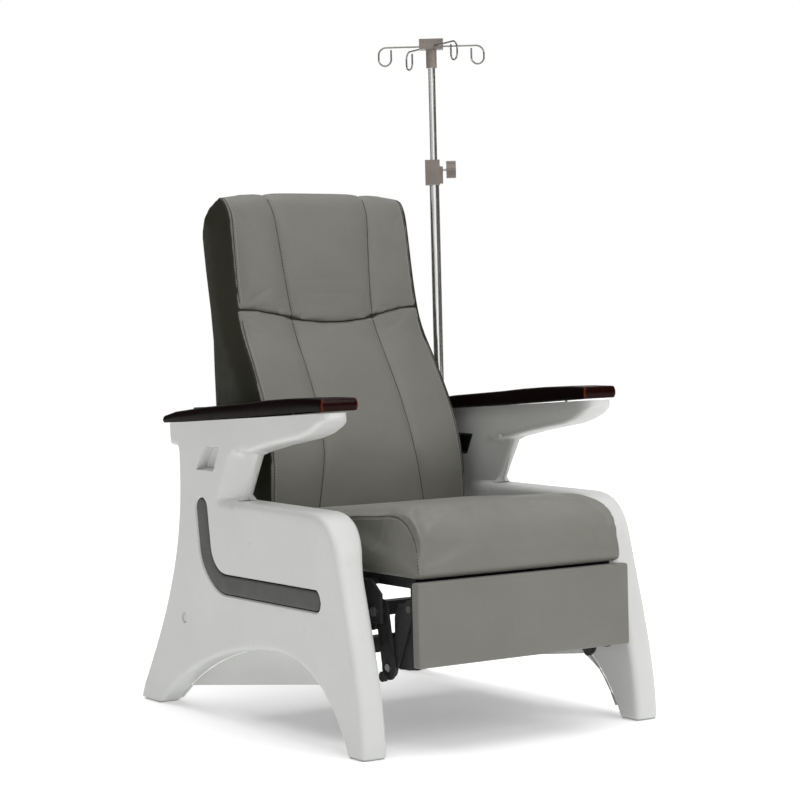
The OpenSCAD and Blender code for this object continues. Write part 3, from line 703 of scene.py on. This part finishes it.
# Domed caps in the side panels' bolt holes
verts, faces = [], []
for s in (-1, 1):
    k = len(verts)
    for r, h in ((PLUG_R - 1.4, -4.6), (PLUG_R - 1.4, -3.0), (PLUG_R - 2.4, -2.3), (PLUG_R * 0.5, -1.9)):
        verts += [(s * (OUT + h), y, z) for y, z in circle(PLUG, r)]
    for j in range(3):
        for i in range(28):
            n = (i + 1) % 28
            faces.append((k + j * 28 + i, k + j * 28 + n, k + j * 28 + 28 + n, k + j * 28 + 28 + i))
    faces += [tuple(range(k, k + 28)), tuple(range(k + 84, k + 112))]
finish_piece(add("plug_caps", spots(verts), faces, 50), "frame", ["side_plugs"], WHITE)


# ---------- arm boards ----------

BOARD_TOP = [(106, 669.5), (181, 670), (258, 668), (337, 663.5), (420, 657), (593, 646), (730, 633.5),
             (797, 621)]
BOARD_LOW = [(106, 645.5), (122, 645.2), (182, 642.5), (380, 630), (594, 617), (759, 609.4), (797, 608)]
BOARD_FRONT, BOARD_REAR = 119.0, 795.0


def board_line(line, y):
    return np.interp(y, [p[0] for p in line], [p[1] for p in line])


board_plan = [(269, BOARD_FRONT), (350, BOARD_FRONT), (350, BOARD_REAR), (269, BOARD_REAR)]
board_plan = round_corners(board_plan, (4, 4, 16, 16), 6)
board_plan = resample(board_plan, 5)
hole = circle(POLE, SOCKET_R - 1.8, 32)


def board_side_of(p):
    return distance(p, board_plan, True)


for s, side in ((-1, "left"), (1, "right")):
    obj = relief("board_" + side, board_plan, (0.5, 1.3, 2.5, 4.2, 6.5), 11,
                 lambda p: board_line(BOARD_TOP, p[:, 1]) - fillet(board_side_of(p), 6, 6),
                 lambda p: board_line(BOARD_LOW, p[:, 1]) + fillet(board_side_of(p), 4, 4),
                 plan_map(s), holes=[hole], walls=4, crown=1.2, smooth=60)
    dress(obj, BOARD, FRONT)
    limit = spot(0, BOARD_FRONT + 6, 0).y
    for face in obj.data.polygons:
        if face.center.y < limit and face.normal.y < -0.5:
            face.material_index = 1
    finish_piece(obj, "frame", ["armrest_" + side])


# ---------- upholstery ----------


def voxel(obj, size, smooth=4):
    """Remeshes to even quads and evens out the steps."""
    mod = obj.modifiers.new("voxel", "REMESH")
    mod.mode = "VOXEL"
    mod.voxel_size = size * MM
    soft = obj.modifiers.new("even", "SMOOTH")
    soft.iterations = smooth
    soft.factor = 0.5
    bake(obj)


def coords(obj):
    co = np.empty(len(obj.data.vertices) * 3)
    obj.data.vertices.foreach_get("co", co)
    return co.reshape(-1, 3)


def set_coords(obj, co):
    obj.data.vertices.foreach_set("co", np.asarray(co, float).ravel())
    obj.data.update()


def normals(obj):
    n = np.empty(len(obj.data.vertices) * 3)
    obj.data.vertices.foreach_get("normal", n)
    return n.reshape(-1, 3)


def chair(co):
    """Row frame metres back to the chair's millimetres."""
    return (co - np.array([MID_X, TOE_Y, 0.0])) / MM


def inflate(obj, held, cap, pressure=4.0, frames=20, stiff=14.0):
    """Swells the cover with cloth physics. held is each vertex's pin weight, cap the furthest move in mm."""
    start = coords(obj)
    group = obj.vertex_groups.new(name="held")
    for w in (0.25, 0.5, 0.75, 1.0):
        ids = np.nonzero((held > w - 0.125) & (held <= w + 0.125))[0]
        if len(ids):
            group.add([int(i) for i in ids], w, "REPLACE")
    cloth = obj.modifiers.new("Cloth", "CLOTH")
    st = cloth.settings
    st.quality = 5
    st.mass = 0.3
    st.tension_stiffness = st.compression_stiffness = stiff
    st.shear_stiffness = 6
    st.bending_stiffness = 1.5
    st.use_pressure = True
    st.uniform_pressure_force = pressure
    st.effector_weights.gravity = 0
    st.vertex_group_mass = "held"
    cloth.point_cache.frame_start = 1
    cloth.point_cache.frame_end = frames
    for f in range(1, frames + 1):
        bpy.context.scene.frame_set(f)
    deps = bpy.context.evaluated_depsgraph_get()
    shown = obj.evaluated_get(deps)
    co = np.empty(len(shown.data.vertices) * 3)
    shown.data.vertices.foreach_get("co", co)
    co = co.reshape(-1, 3)
    obj.modifiers.remove(cloth)
    obj.vertex_groups.clear()
    move = co - start
    far = np.linalg.norm(move, axis=1)[:, None]
    limit = cap * MM
    set_coords(obj, start + move * (limit * np.tanh(far / limit) / np.maximum(far, 1e-9)))
    bpy.context.scene.frame_set(1)


def subdivide(obj, levels=1):
    mod = obj.modifiers.new("fine", "SUBSURF")
    mod.levels = mod.render_levels = levels
    bake(obj)


def carve(obj, pick, lines, width, depth):
    """Sews seams in: pick(p) gives flat points and a weight, lines are polylines in that plane."""
    co, nor = coords(obj), normals(obj)
    flat, weight = pick(chair(co), nor)
    d = np.full(len(co), 1e9)
    for line in lines:
        d = np.minimum(d, distance(flat, line))
    dip = depth * np.exp(-((d / width) ** 2)) * weight
    set_coords(obj, co - nor * dip[:, None] * MM)


def tree_of(obj):
    verts = [v.co.copy() for v in obj.data.vertices]
    return BVHTree.FromPolygons(verts, [tuple(p.vertices) for p in obj.data.polygons])


def thread(name, surface, rows, ray, r=0.55, lift=0.3, dash=None):
    """Thread laid on a surface, found by rays from each row's points: one run, or dashes of (length, gap)."""
    tree = tree_of(surface)
    verts, faces = [], []
    ray = Vector(ray).normalized()
    for row in rows:
        row = np.array(row, float)
        at = np.concatenate([[0], np.cumsum(np.linalg.norm(np.diff(row, axis=0), axis=1))])
        length, gap = dash or (at[-1], 1.0)
        for t in np.arange(0, at[-1] - length + 0.1, length + gap):
            run = []
            for u in np.linspace(t, t + length, max(4, round(length / 4))):
                start = spot(*(np.interp(u, at, row[:, k]) for k in range(3)))
                hit, nor = tree.ray_cast(start - ray * 0.15, ray, 0.3)[:2]
                if hit is not None:
                    run.append((hit, nor if nor.dot(ray) < 0 else -nor))
            if len(run) < 4:
                continue
            k = len(verts)
            for i, (hit, nor) in enumerate(run):
                way = (run[min(i + 1, len(run) - 1)][0] - run[max(i - 1, 0)][0]).normalized()
                side = way.cross(nor).normalized()
                up = side.cross(way).normalized()
                wide = r * (0.45 if i in (0, len(run) - 1) else 1.0)
                for q in range(6):
                    ang = q * math.pi / 3
                    verts.append(hit + (up * lift + (side * math.cos(ang) + up * math.sin(ang)) * wide) * MM)
            for j in range(len(run) - 1):
                for q in range(6):
                    w = (q + 1) % 6
                    faces.append((k + j * 6 + q, k + j * 6 + w, k + j * 6 + 6 + w, k + j * 6 + 6 + q))
            faces.append(tuple(k + q for q in range(5, -1, -1)))
            faces.append(tuple(len(verts) - 6 + q for q in range(6)))
    return add(name, verts, faces, 0, tidy=False)


def prism(name, profile, half):
    """A side view profile drawn across the chair from -half to half."""
    profile = anticlockwise(profile)
    xs = np.linspace(-half, half, 5)
    return loft(name, [[(x, y, z) for y, z in profile] for x in xs])


# Seat cushion
SEAT_HALF = 245.0
SEAT = [(494, 336), (486, 330), (-24, 330), (-30, 334), (-32, 350), (-32, 398)]
SEAT += bezier((-32, 398), (-30, 432), (4, 454), (70, 452), 10) + [(470, 424), (487, 419), (494, 408)]
seat = prism("seat_pad", SEAT, SEAT_HALF - 6)
voxel(seat, 7.0, 3)
# The lower edge is held, and swelling grows above it
p = chair(coords(seat))
inflate(seat, 1 - smooth_step(p[:, 2], 337, 356), 10.0)
subdivide(seat)
p, nor = chair(coords(seat)), normals(seat)
corner = np.exp(-((abs(p[:, 0]) - 238) / 9.0) ** 2 - ((p[:, 1] + 6) / 26.0) ** 2) * (p[:, 2] > 400)
pleat = np.maximum(0, np.sin(np.arctan2(p[:, 2] - 430, p[:, 1] - 10) * 15)) * corner * 2.4
set_coords(seat, coords(seat) - nor * (pleat * MM)[:, None])
side_seam = [(480, 424), (300, 437), (70, 453)] + bezier((70, 453), (10, 450), (-28, 425), (-30, 345), 12)


def on_sides(p, n):
    return p[:, 1:], np.where(abs(p[:, 0]) > 228, 1.0, 0.0)


carve(seat, on_sides, [side_seam], 2.2, 2.0)
shade(seat, 0)
for s, side in ((-1, "left"), (1, "right")):
    row = [(s * 241, y, z) for y, z in side_seam]
    # Near-black line in the seat's side seam: painted shade of the seam crease
    obj = thread("seat_seam_shade_" + side, seat, [row], (-s, 0.7, -0.7), 0.8, -0.1)
    finish_piece(obj, "frame", (), SEAM_SHADE)
    row = [(s * 236, y, z) for y, z in side_seam]
    obj = thread("seat_stitches_" + side, seat, [row], (-s * 0.3, 0.7, -0.7), 0.6, 0.2, (4.2, 2.6))
    finish_piece(obj, "frame", (), THREAD)
finish_piece(seat, "frame", ["seat_cushion"], GREY)

# Leg rest pad
PAD_HALF, PAD_Z, PAD_Y = 248.0, (166.0, 327.0), (-41.0, -18.0)
y0, y1, z0, z1 = PAD_Y[0], PAD_Y[1], PAD_Z[0] + 0.6, PAD_Z[1] - 0.6
rest = prism("legrest_skin", [(y0, z0), (y1, z0), (y1, z1), (y0, z1)], PAD_HALF - 0.6)
voxel(rest, 4.0, 2)
p = chair(coords(rest))
rim = np.minimum(PAD_HALF - abs(p[:, 0]), np.minimum(p[:, 2] - PAD_Z[0], PAD_Z[1] - p[:, 2]))
inflate(rest, np.where(p[:, 1] > -24, 1.0, 1 - smooth_step(rim, 4, 16)), 4.0, 3.0, 14)
subdivide(rest)
shade(rest, 0)
finish_piece(rest, "legrest", ["legrest_pad"], GREY)


def through(points, n=4):
    """A smooth line through the points, n steps between each two."""
    p = np.array([points[0]] + points + [points[-1]], float)
    out = [p[0]]
    for i in range(1, len(p) - 2):
        for t in np.linspace(0, 1, n + 1)[1:]:
            a, b, c, d = p[i - 1:i + 3]
            curve = (2 * a - 5 * b + 4 * c - d) * t**2 + (3 * b - a - 3 * c + d) * t**3
            out.append(0.5 * (2 * b + (c - a) * t + curve))
    return np.array(out)


# Back: where the front cover is sewn to the dark case, (y, z, half width) from bottom to top
SEAM = through([
    (516, 392, 242), (515, 460, 242), (519, 540, 238), (549, 630, 235), (604, 727, 231),
    (651, 803, 228), (674, 882, 226), (693, 1002, 224), (700, 1043, 223), (711, 1066, 224),
    (724, 1079, 225), (742, 1086, 225)])
HEAD_LOW = [(0, 816), (35, 816), (80, 821), (125, 832), (175, 842), (235, 847)]
seam_at = np.concatenate([[0], np.cumsum(np.linalg.norm(np.diff(SEAM[:, :2], axis=0), axis=1))])


def seam_of_z(z):
    return np.interp(z, SEAM[:, 1], SEAM[:, 0]), np.interp(z, SEAM[:, 1], SEAM[:, 2])


def back_front(x, at, crown, lift):
    """The front cover at x and at a distance along the seam, bulged forwards by crown and up by lift."""
    y, z, half = (np.interp(at, seam_at, SEAM[:, k]) for k in range(3))
    u = np.clip(abs(x) / half, 0, 1)
    puff = 1 - u**3.2
    return y - crown * puff, z + lift * puff


BACK_THICK = 24.0


def back_piece(name, lows, highs, crown, roll):
    """One front cushion of the back between two lines along the seam, given at each x station."""
    us = np.linspace(-1, 1, 33)
    vs = np.linspace(0, 1, 30)
    rows = []
    for v in vs:
        row = []
        for u in us:
            at = lows(u) + (highs(u) - lows(u)) * v
            half = np.interp(at, seam_at, SEAM[:, 2])
            top = smooth_step(v, 0.75, 1.0) if roll else 0
            y, z = back_front(u * half, at, crown * (1 - 0.4 * top), 12.0 * top)
            row.append((u * half, y, z))
        rows.append(row)
    faces = []
    n = len(us)
    verts = [q for row in rows for q in row]
    for x, y, z in list(verts):
        behind = np.interp(z, SEAM[:, 1], SEAM[:, 0]) + BACK_THICK
        verts.append((x, max(behind, y + 8), z - (8 if roll and z > 1060 else 0)))
    m = len(rows) * n
    for j in range(len(rows) - 1):
        for i in range(n - 1):
            a = j * n + i
            faces.append((a, a + 1, a + n + 1, a + n))
            faces.append((m + a, m + a + n, m + a + n + 1, m + a + 1))
    ring = [i for i in range(n)] + [j * n + n - 1 for j in range(1, len(rows))]
    ring += [(len(rows) - 1) * n + i for i in range(n - 2, -1, -1)]
    ring += [j * n for j in range(len(rows) - 2, 0, -1)]
    for i, a in enumerate(ring):
        b = ring[(i + 1) % len(ring)]
        faces.append((a, m + a, m + b, b))
    return add(name, spots(np.array(verts)), faces, 0)


def at_of_z(z):
    return np.interp(z, SEAM[:, 1], seam_at)


def head_low_at(u):
    return at_of_z(np.interp(abs(u) * 228, *zip(*HEAD_LOW)))


HEAD_COLS = [(1112, 123), (989, 112), (820, 100)]
BACK_COLS = [(834, 101), (620, 106), (540, 112), (400, 134)]
columns = [[(s * x, z) for z, x in cols] for cols in (HEAD_COLS, BACK_COLS) for s in (-1, 1)]


def from_front(p, n):
    return p[:, [0, 2]], np.where((n[:, 1] < -0.15) | (n[:, 2] > 0.3), 1.0, 0.0)


def near_lines(p, lines, reach):
    d = np.full(len(p), 1e9)
    for line in lines:
        d = np.minimum(d, distance(p[:, [0, 2]], line))
    return np.clip(1 - d / reach, 0, 1)


def make_back(name, lows, highs, crown, roll, cols, cap, node):
    obj = back_piece(name, lows, highs, crown, roll)
    voxel(obj, 6.0, 3)
    p = chair(coords(obj))
    seam_y = seam_of_z(p[:, 2])[0]
    behind = smooth_step(p[:, 1], seam_y + 2, seam_y + 14) if not roll else np.maximum(
        smooth_step(p[:, 1], seam_y + 6, seam_y + 18) * (p[:, 2] < 1050), smooth_step(p[:, 1], 728, 742))
    sewn = near_lines(p, cols, 9.0) * 0.75 * (p[:, 1] < seam_y)
    inflate(obj, np.maximum(behind, sewn), cap, 3.2, 20)
    subdivide(obj)
    carve(obj, from_front, cols, 15.0, 2.2)
    carve(obj, from_front, cols, 3.2, 1.8)
    shade(obj, 0)
    finish_piece(obj, "backrest", [node], GREY)
    return obj


head = make_back("head_pad", head_low_at, lambda u: seam_at[-1], 12.0, True, columns[:2], 12.0,
                 "head_cushion")
low = make_back("back_pad", lambda u: at_of_z(394), lambda u: head_low_at(u) - 1.5, 9.0, False,
                columns[2:], 9.0, "back_cushion")

DASH = (4.2, 2.6)


def front_row(line, shift=0.0):
    """A seam line [(x, z)] as a row in front of the back, moved sideways by shift towards the middle."""
    return [(x - math.copysign(shift, x), seam_of_z(z)[0] - 20, z) for x, z in line]


edge_line = [(half - 7.0, z) for y, z, half in SEAM]
for name, obj, lines, lo, hi in (("head", head, columns[:2], 848, 1086),
                                 ("back", low, columns[2:], 398, 828)):
    cut = [[(x, z) for x, z in resample(line, 6, False) if lo - 30 <= z <= hi] for line in lines]
    edges = [[(s * x, z) for x, z in edge_line if lo <= z <= hi] for s in (-1, 1)]
    seams = [front_row(line) for line in cut] + [front_row(line) for line in edges]
    # Near-black line in each seam: painted shade of the seam creases
    sewn = thread(name + "_seam_shade", obj, seams, (0, 1, 0), 0.9, -0.1)
    finish_piece(sewn, "backrest", (), SEAM_SHADE)
    rows = [front_row(line, shift) for line in cut for shift in (-4.5, 4.5)]
    rows += [front_row(line, 4.5) for line in edges]
    sewn = thread(name + "_stitches", obj, rows, (0, 1, 0), 0.45, 0.15, DASH)
    finish_piece(sewn, "backrest", (), THREAD)

# The dark case behind it
CASE_REAR = [(700, 392), (714, 440), (735, 540), (744, 644), (747, 717), (748, 781), (757, 845), (774, 931),
             (785, 1000), (784, 1016), (775, 1042), (762, 1068), (752, 1080), (744, 1086)]
case_front = [(y + 3, z) for y, z, _ in SEAM[:-1]]
case_line = anticlockwise(case_front + CASE_REAR[::-1])
case_line = resample(case_line, 8)
seam_flat = [(y, z) for y, z, _ in SEAM]


def case_face(p):
    """Half width of the case: it widens behind the front seam and rounds into its rear."""
    front = distance(p, seam_flat)
    half = seam_of_z(p[:, 1])[1] - 1.0
    rear = distance(p, CASE_REAR)
    x = half + (246.0 - half) * smooth_step(front, -12, 56)
    return x - fillet(rear, 9, 8)


case = relief("back_case", case_line, (0.5, 2, 4.5, 8, 12.5, 18), 12, case_face, lambda p: -case_face(p),
              side_map(1), walls=26, crown=4.0, smooth=0)
finish_piece(case, "backrest", ["back_side_left", "back_side_right", "back_cover"], DARK)
# The first row is a near-black line in the case's seam, painted shade of the seam crease; the second is
# stitching
for name, x, r, lift, dash, mat in (("case_seam_shade_", 238, 1.0, 0.1, None, SEAM_SHADE),
                                    ("case_stitches_", 232, 0.5, 0.2, DASH, THREAD)):
    for s, side in ((-1, "left"), (1, "right")):
        row = [(s * x, y, z) for y, z in CASE_REAR[1:-2]]
        obj = thread(name + side, case, [row], (-s * 0.6, -0.8, 0), r, lift, dash)
        finish_piece(obj, "backrest", (), mat)


# ---------- CAD nodes that stay ----------

# Each material slot's material and bevel width in mm; SMALL has the nodes with a width of their own
LOOKS = {
    "foam_core": (FOAM, 0), "white_shell": (WHITE, 0.8), "black_steel": (BLACK, 0.8),
    "trim_leather": (TRIM, 0.5), "dark_plastic": (PLASTIC, 0.6), "glide_plastic": (GLIDE, 0.8),
    "zinc_steel": (ZINC, 0.5), "plywood_black": (DECK_SHADE_BLACK, 0.8), "chrome_tube": (CHROME, 0),
    "taupe_plastic": (TAUPE, 1.6), "bumper_rubber": (RUBBER, 1.2), "grey_leather": (GREY, 0),
    "dark_leather": (DARK, 0), "dark_lacquered_board": (BOARD, 0)}
SMALL = {"trim_screws": 0.5, "hook_collar": 1.2, "pole_socket_left": 1.0, "pole_socket_right": 1.0}
slots = {s["node"]: s["material_slot"] for s in frame["record"]["subparts"]}
for node, obj in frame["nodes"].items():
    mat, width = LOOKS[slots[node]]
    # The hooks take the darker copy of the chrome, painted shade
    if node in ("hook_left", "hook_right", "hook_front", "hook_rear"):
        mat = CHROME_SHADED
    obj.data.materials.clear()
    obj.data.materials.append(mat)
    if obj.hide_render:
        continue
    width = SMALL.get(node, width)
    if width:
        bevel(obj, width)
    for f in obj.data.polygons:
        f.use_smooth = False

# ---------- floor, light, camera ----------

floor_mat = Look("floor_pale", 0.8, Emission_Color=(1, 1, 1, 1), Emission_Strength=0.30)
pale = [(0.3, (0.93, 0.93, 0.93)), (0.7, (0.95, 0.95, 0.95))]
floor_mat.color(floor_mat.ramp(floor_mat.noise(2, 3), pale))
FLOOR_HALF = 14.0
corners = [(x * FLOOR_HALF, y * FLOOR_HALF, 0) for x, y in ((-1, -1), (1, -1), (1, 1), (-1, 1))]
floor = add("floor", corners, [(0, 1, 2, 3)], 0)
dress(floor, floor_mat.mat)

# Light that falls on the chair, and the surroundings that its glossy faces mirror
SOFT_LIGHT = [(0.0, 0.25), (0.16, 0.6), (0.25, 0.5), (0.3, 0.02), (0.4, 0.02), (0.5, 0.25), (0.6, 0.85),
              (0.71, 0.85), (0.79, 0.1), (0.9, 0.1), (1.0, 0.25)]
MIRRORED = [(0.0, 0.42), (0.08, 0.5), (0.12, 1.0), (0.2, 1.0), (0.235, 0.6), (0.25, 0.0), (0.5, 0.0),
            (0.56, 0.4), (0.6, 1.0), (0.71, 1.0), (0.79, 0.04), (0.87, 0.04), (0.9, 0.34), (1.0, 0.42)]

bpy.context.scene.view_settings.view_transform = "Standard"
world = bpy.data.worlds.new("studio")
bpy.context.scene.world = world
world.use_nodes = True
tree = world.node_tree
seen = tree.nodes["Background"]
lit = tree.nodes.new("ShaderNodeBackground")
seen.inputs["Color"].default_value = (1, 1, 1, 1)
way = tree.nodes.new("ShaderNodeTexCoord")
turn_round = tree.nodes.new("ShaderNodeTexGradient")
turn_round.gradient_type = "RADIAL"
tree.links.new(way.outputs["Generated"], turn_round.inputs["Vector"])


def surroundings(levels):
    """Grey levels round the horizon, from 0 at -x through -y, +x and +y back to -x."""
    ramp = tree.nodes.new("ShaderNodeValToRGB")
    stops = ramp.color_ramp.elements
    stops[0].position, stops[1].position = 0.0, 1.0
    for at, level in levels:
        stop = stops[0] if at == 0 else stops[len(stops) - 1] if at == 1 else stops.new(at)
        stop.color = (level, level, level * 1.02, 1)
    tree.links.new(turn_round.outputs["Fac"], ramp.inputs["Fac"])
    return ramp.outputs["Color"]


path = tree.nodes.new("ShaderNodeLightPath")
tone = tree.nodes.new("ShaderNodeMix")
tone.data_type = "RGBA"
tree.links.new(path.outputs["Is Glossy Ray"], tone.inputs[0])
tree.links.new(surroundings(SOFT_LIGHT), tone.inputs[6])
tree.links.new(surroundings(MIRRORED), tone.inputs[7])
# The lit surroundings fade from the horizon upwards
high = tree.nodes.new("ShaderNodeSeparateXYZ")
fade = tree.nodes.new("ShaderNodeMapRange")
for key, value in (("From Min", 0.12), ("From Max", 0.6), ("To Min", 1.0), ("To Max", 0.35)):
    fade.inputs[key].default_value = value
tree.links.new(tone.outputs[2], lit.inputs["Color"])
tree.links.new(way.outputs["Generated"], high.inputs["Vector"])
tree.links.new(high.outputs["Z"], fade.inputs["Value"])
tree.links.new(fade.outputs["Result"], lit.inputs["Strength"])
# The camera sees plain white behind the chair
pick = tree.nodes.new("ShaderNodeMixShader")
tree.links.new(path.outputs["Is Camera Ray"], pick.inputs["Fac"])
tree.links.new(lit.outputs[0], pick.inputs[1])
tree.links.new(seen.outputs[0], pick.inputs[2])
tree.links.new(pick.outputs[0], tree.nodes["World Output"].inputs["Surface"])


def lamp(name, at, aim, size, power):
    data = bpy.data.lights.new(name, "AREA")
    data.shape = "RECTANGLE"
    data.size, data.size_y = size
    data.energy = power
    obj = bpy.data.objects.new(name, data)
    bpy.context.scene.collection.objects.link(obj)
    obj.location = at
    obj.rotation_mode = "QUATERNION"
    obj.rotation_quaternion = (Vector(aim) - Vector(at)).to_track_quat("-Z", "Y")


lamp("key", (1.3, -4.2, 3.2), (0, 0, 0.8), (2.6, 2.2), 92)
sky = bpy.data.lights.new("sky", "SUN")
sky.energy = 2.4
sky.angle = math.radians(70)
bpy.context.scene.collection.objects.link(bpy.data.objects.new("sky", sky))

# Camera: place in mm, yaw, pitch and roll in degrees, and its focal length in widths of the picture
CAMERA_AT = (-2463.23, -3469.13, 811.10)
CAMERA_TURN = (-32.5997, 2.0227, -1.4226)
FOCAL_WIDTHS = 2217.454 / 800
yaw, pitch, roll = (math.radians(a) for a in CAMERA_TURN)
ahead = Vector((-math.sin(yaw) * math.cos(pitch), math.cos(yaw) * math.cos(pitch), -math.sin(pitch)))
right = Vector((math.cos(yaw), math.sin(yaw), 0))
up = right.cross(ahead)
right, up = right * math.cos(roll) + up * math.sin(roll), up * math.cos(roll) - right * math.sin(roll)
camera = bpy.data.objects.new("camera", bpy.data.cameras.new("camera"))
bpy.context.scene.collection.objects.link(camera)
turn = Matrix((right, up, -ahead)).transposed()
camera.matrix_world = Matrix.Translation(spot(*CAMERA_AT)) @ turn.to_4x4()
camera.data.sensor_width = 36
camera.data.lens = FOCAL_WIDTHS * 36
camera.data.shift_x = -0.0031
camera.data.clip_end = 100
bpy.context.scene.camera = camera
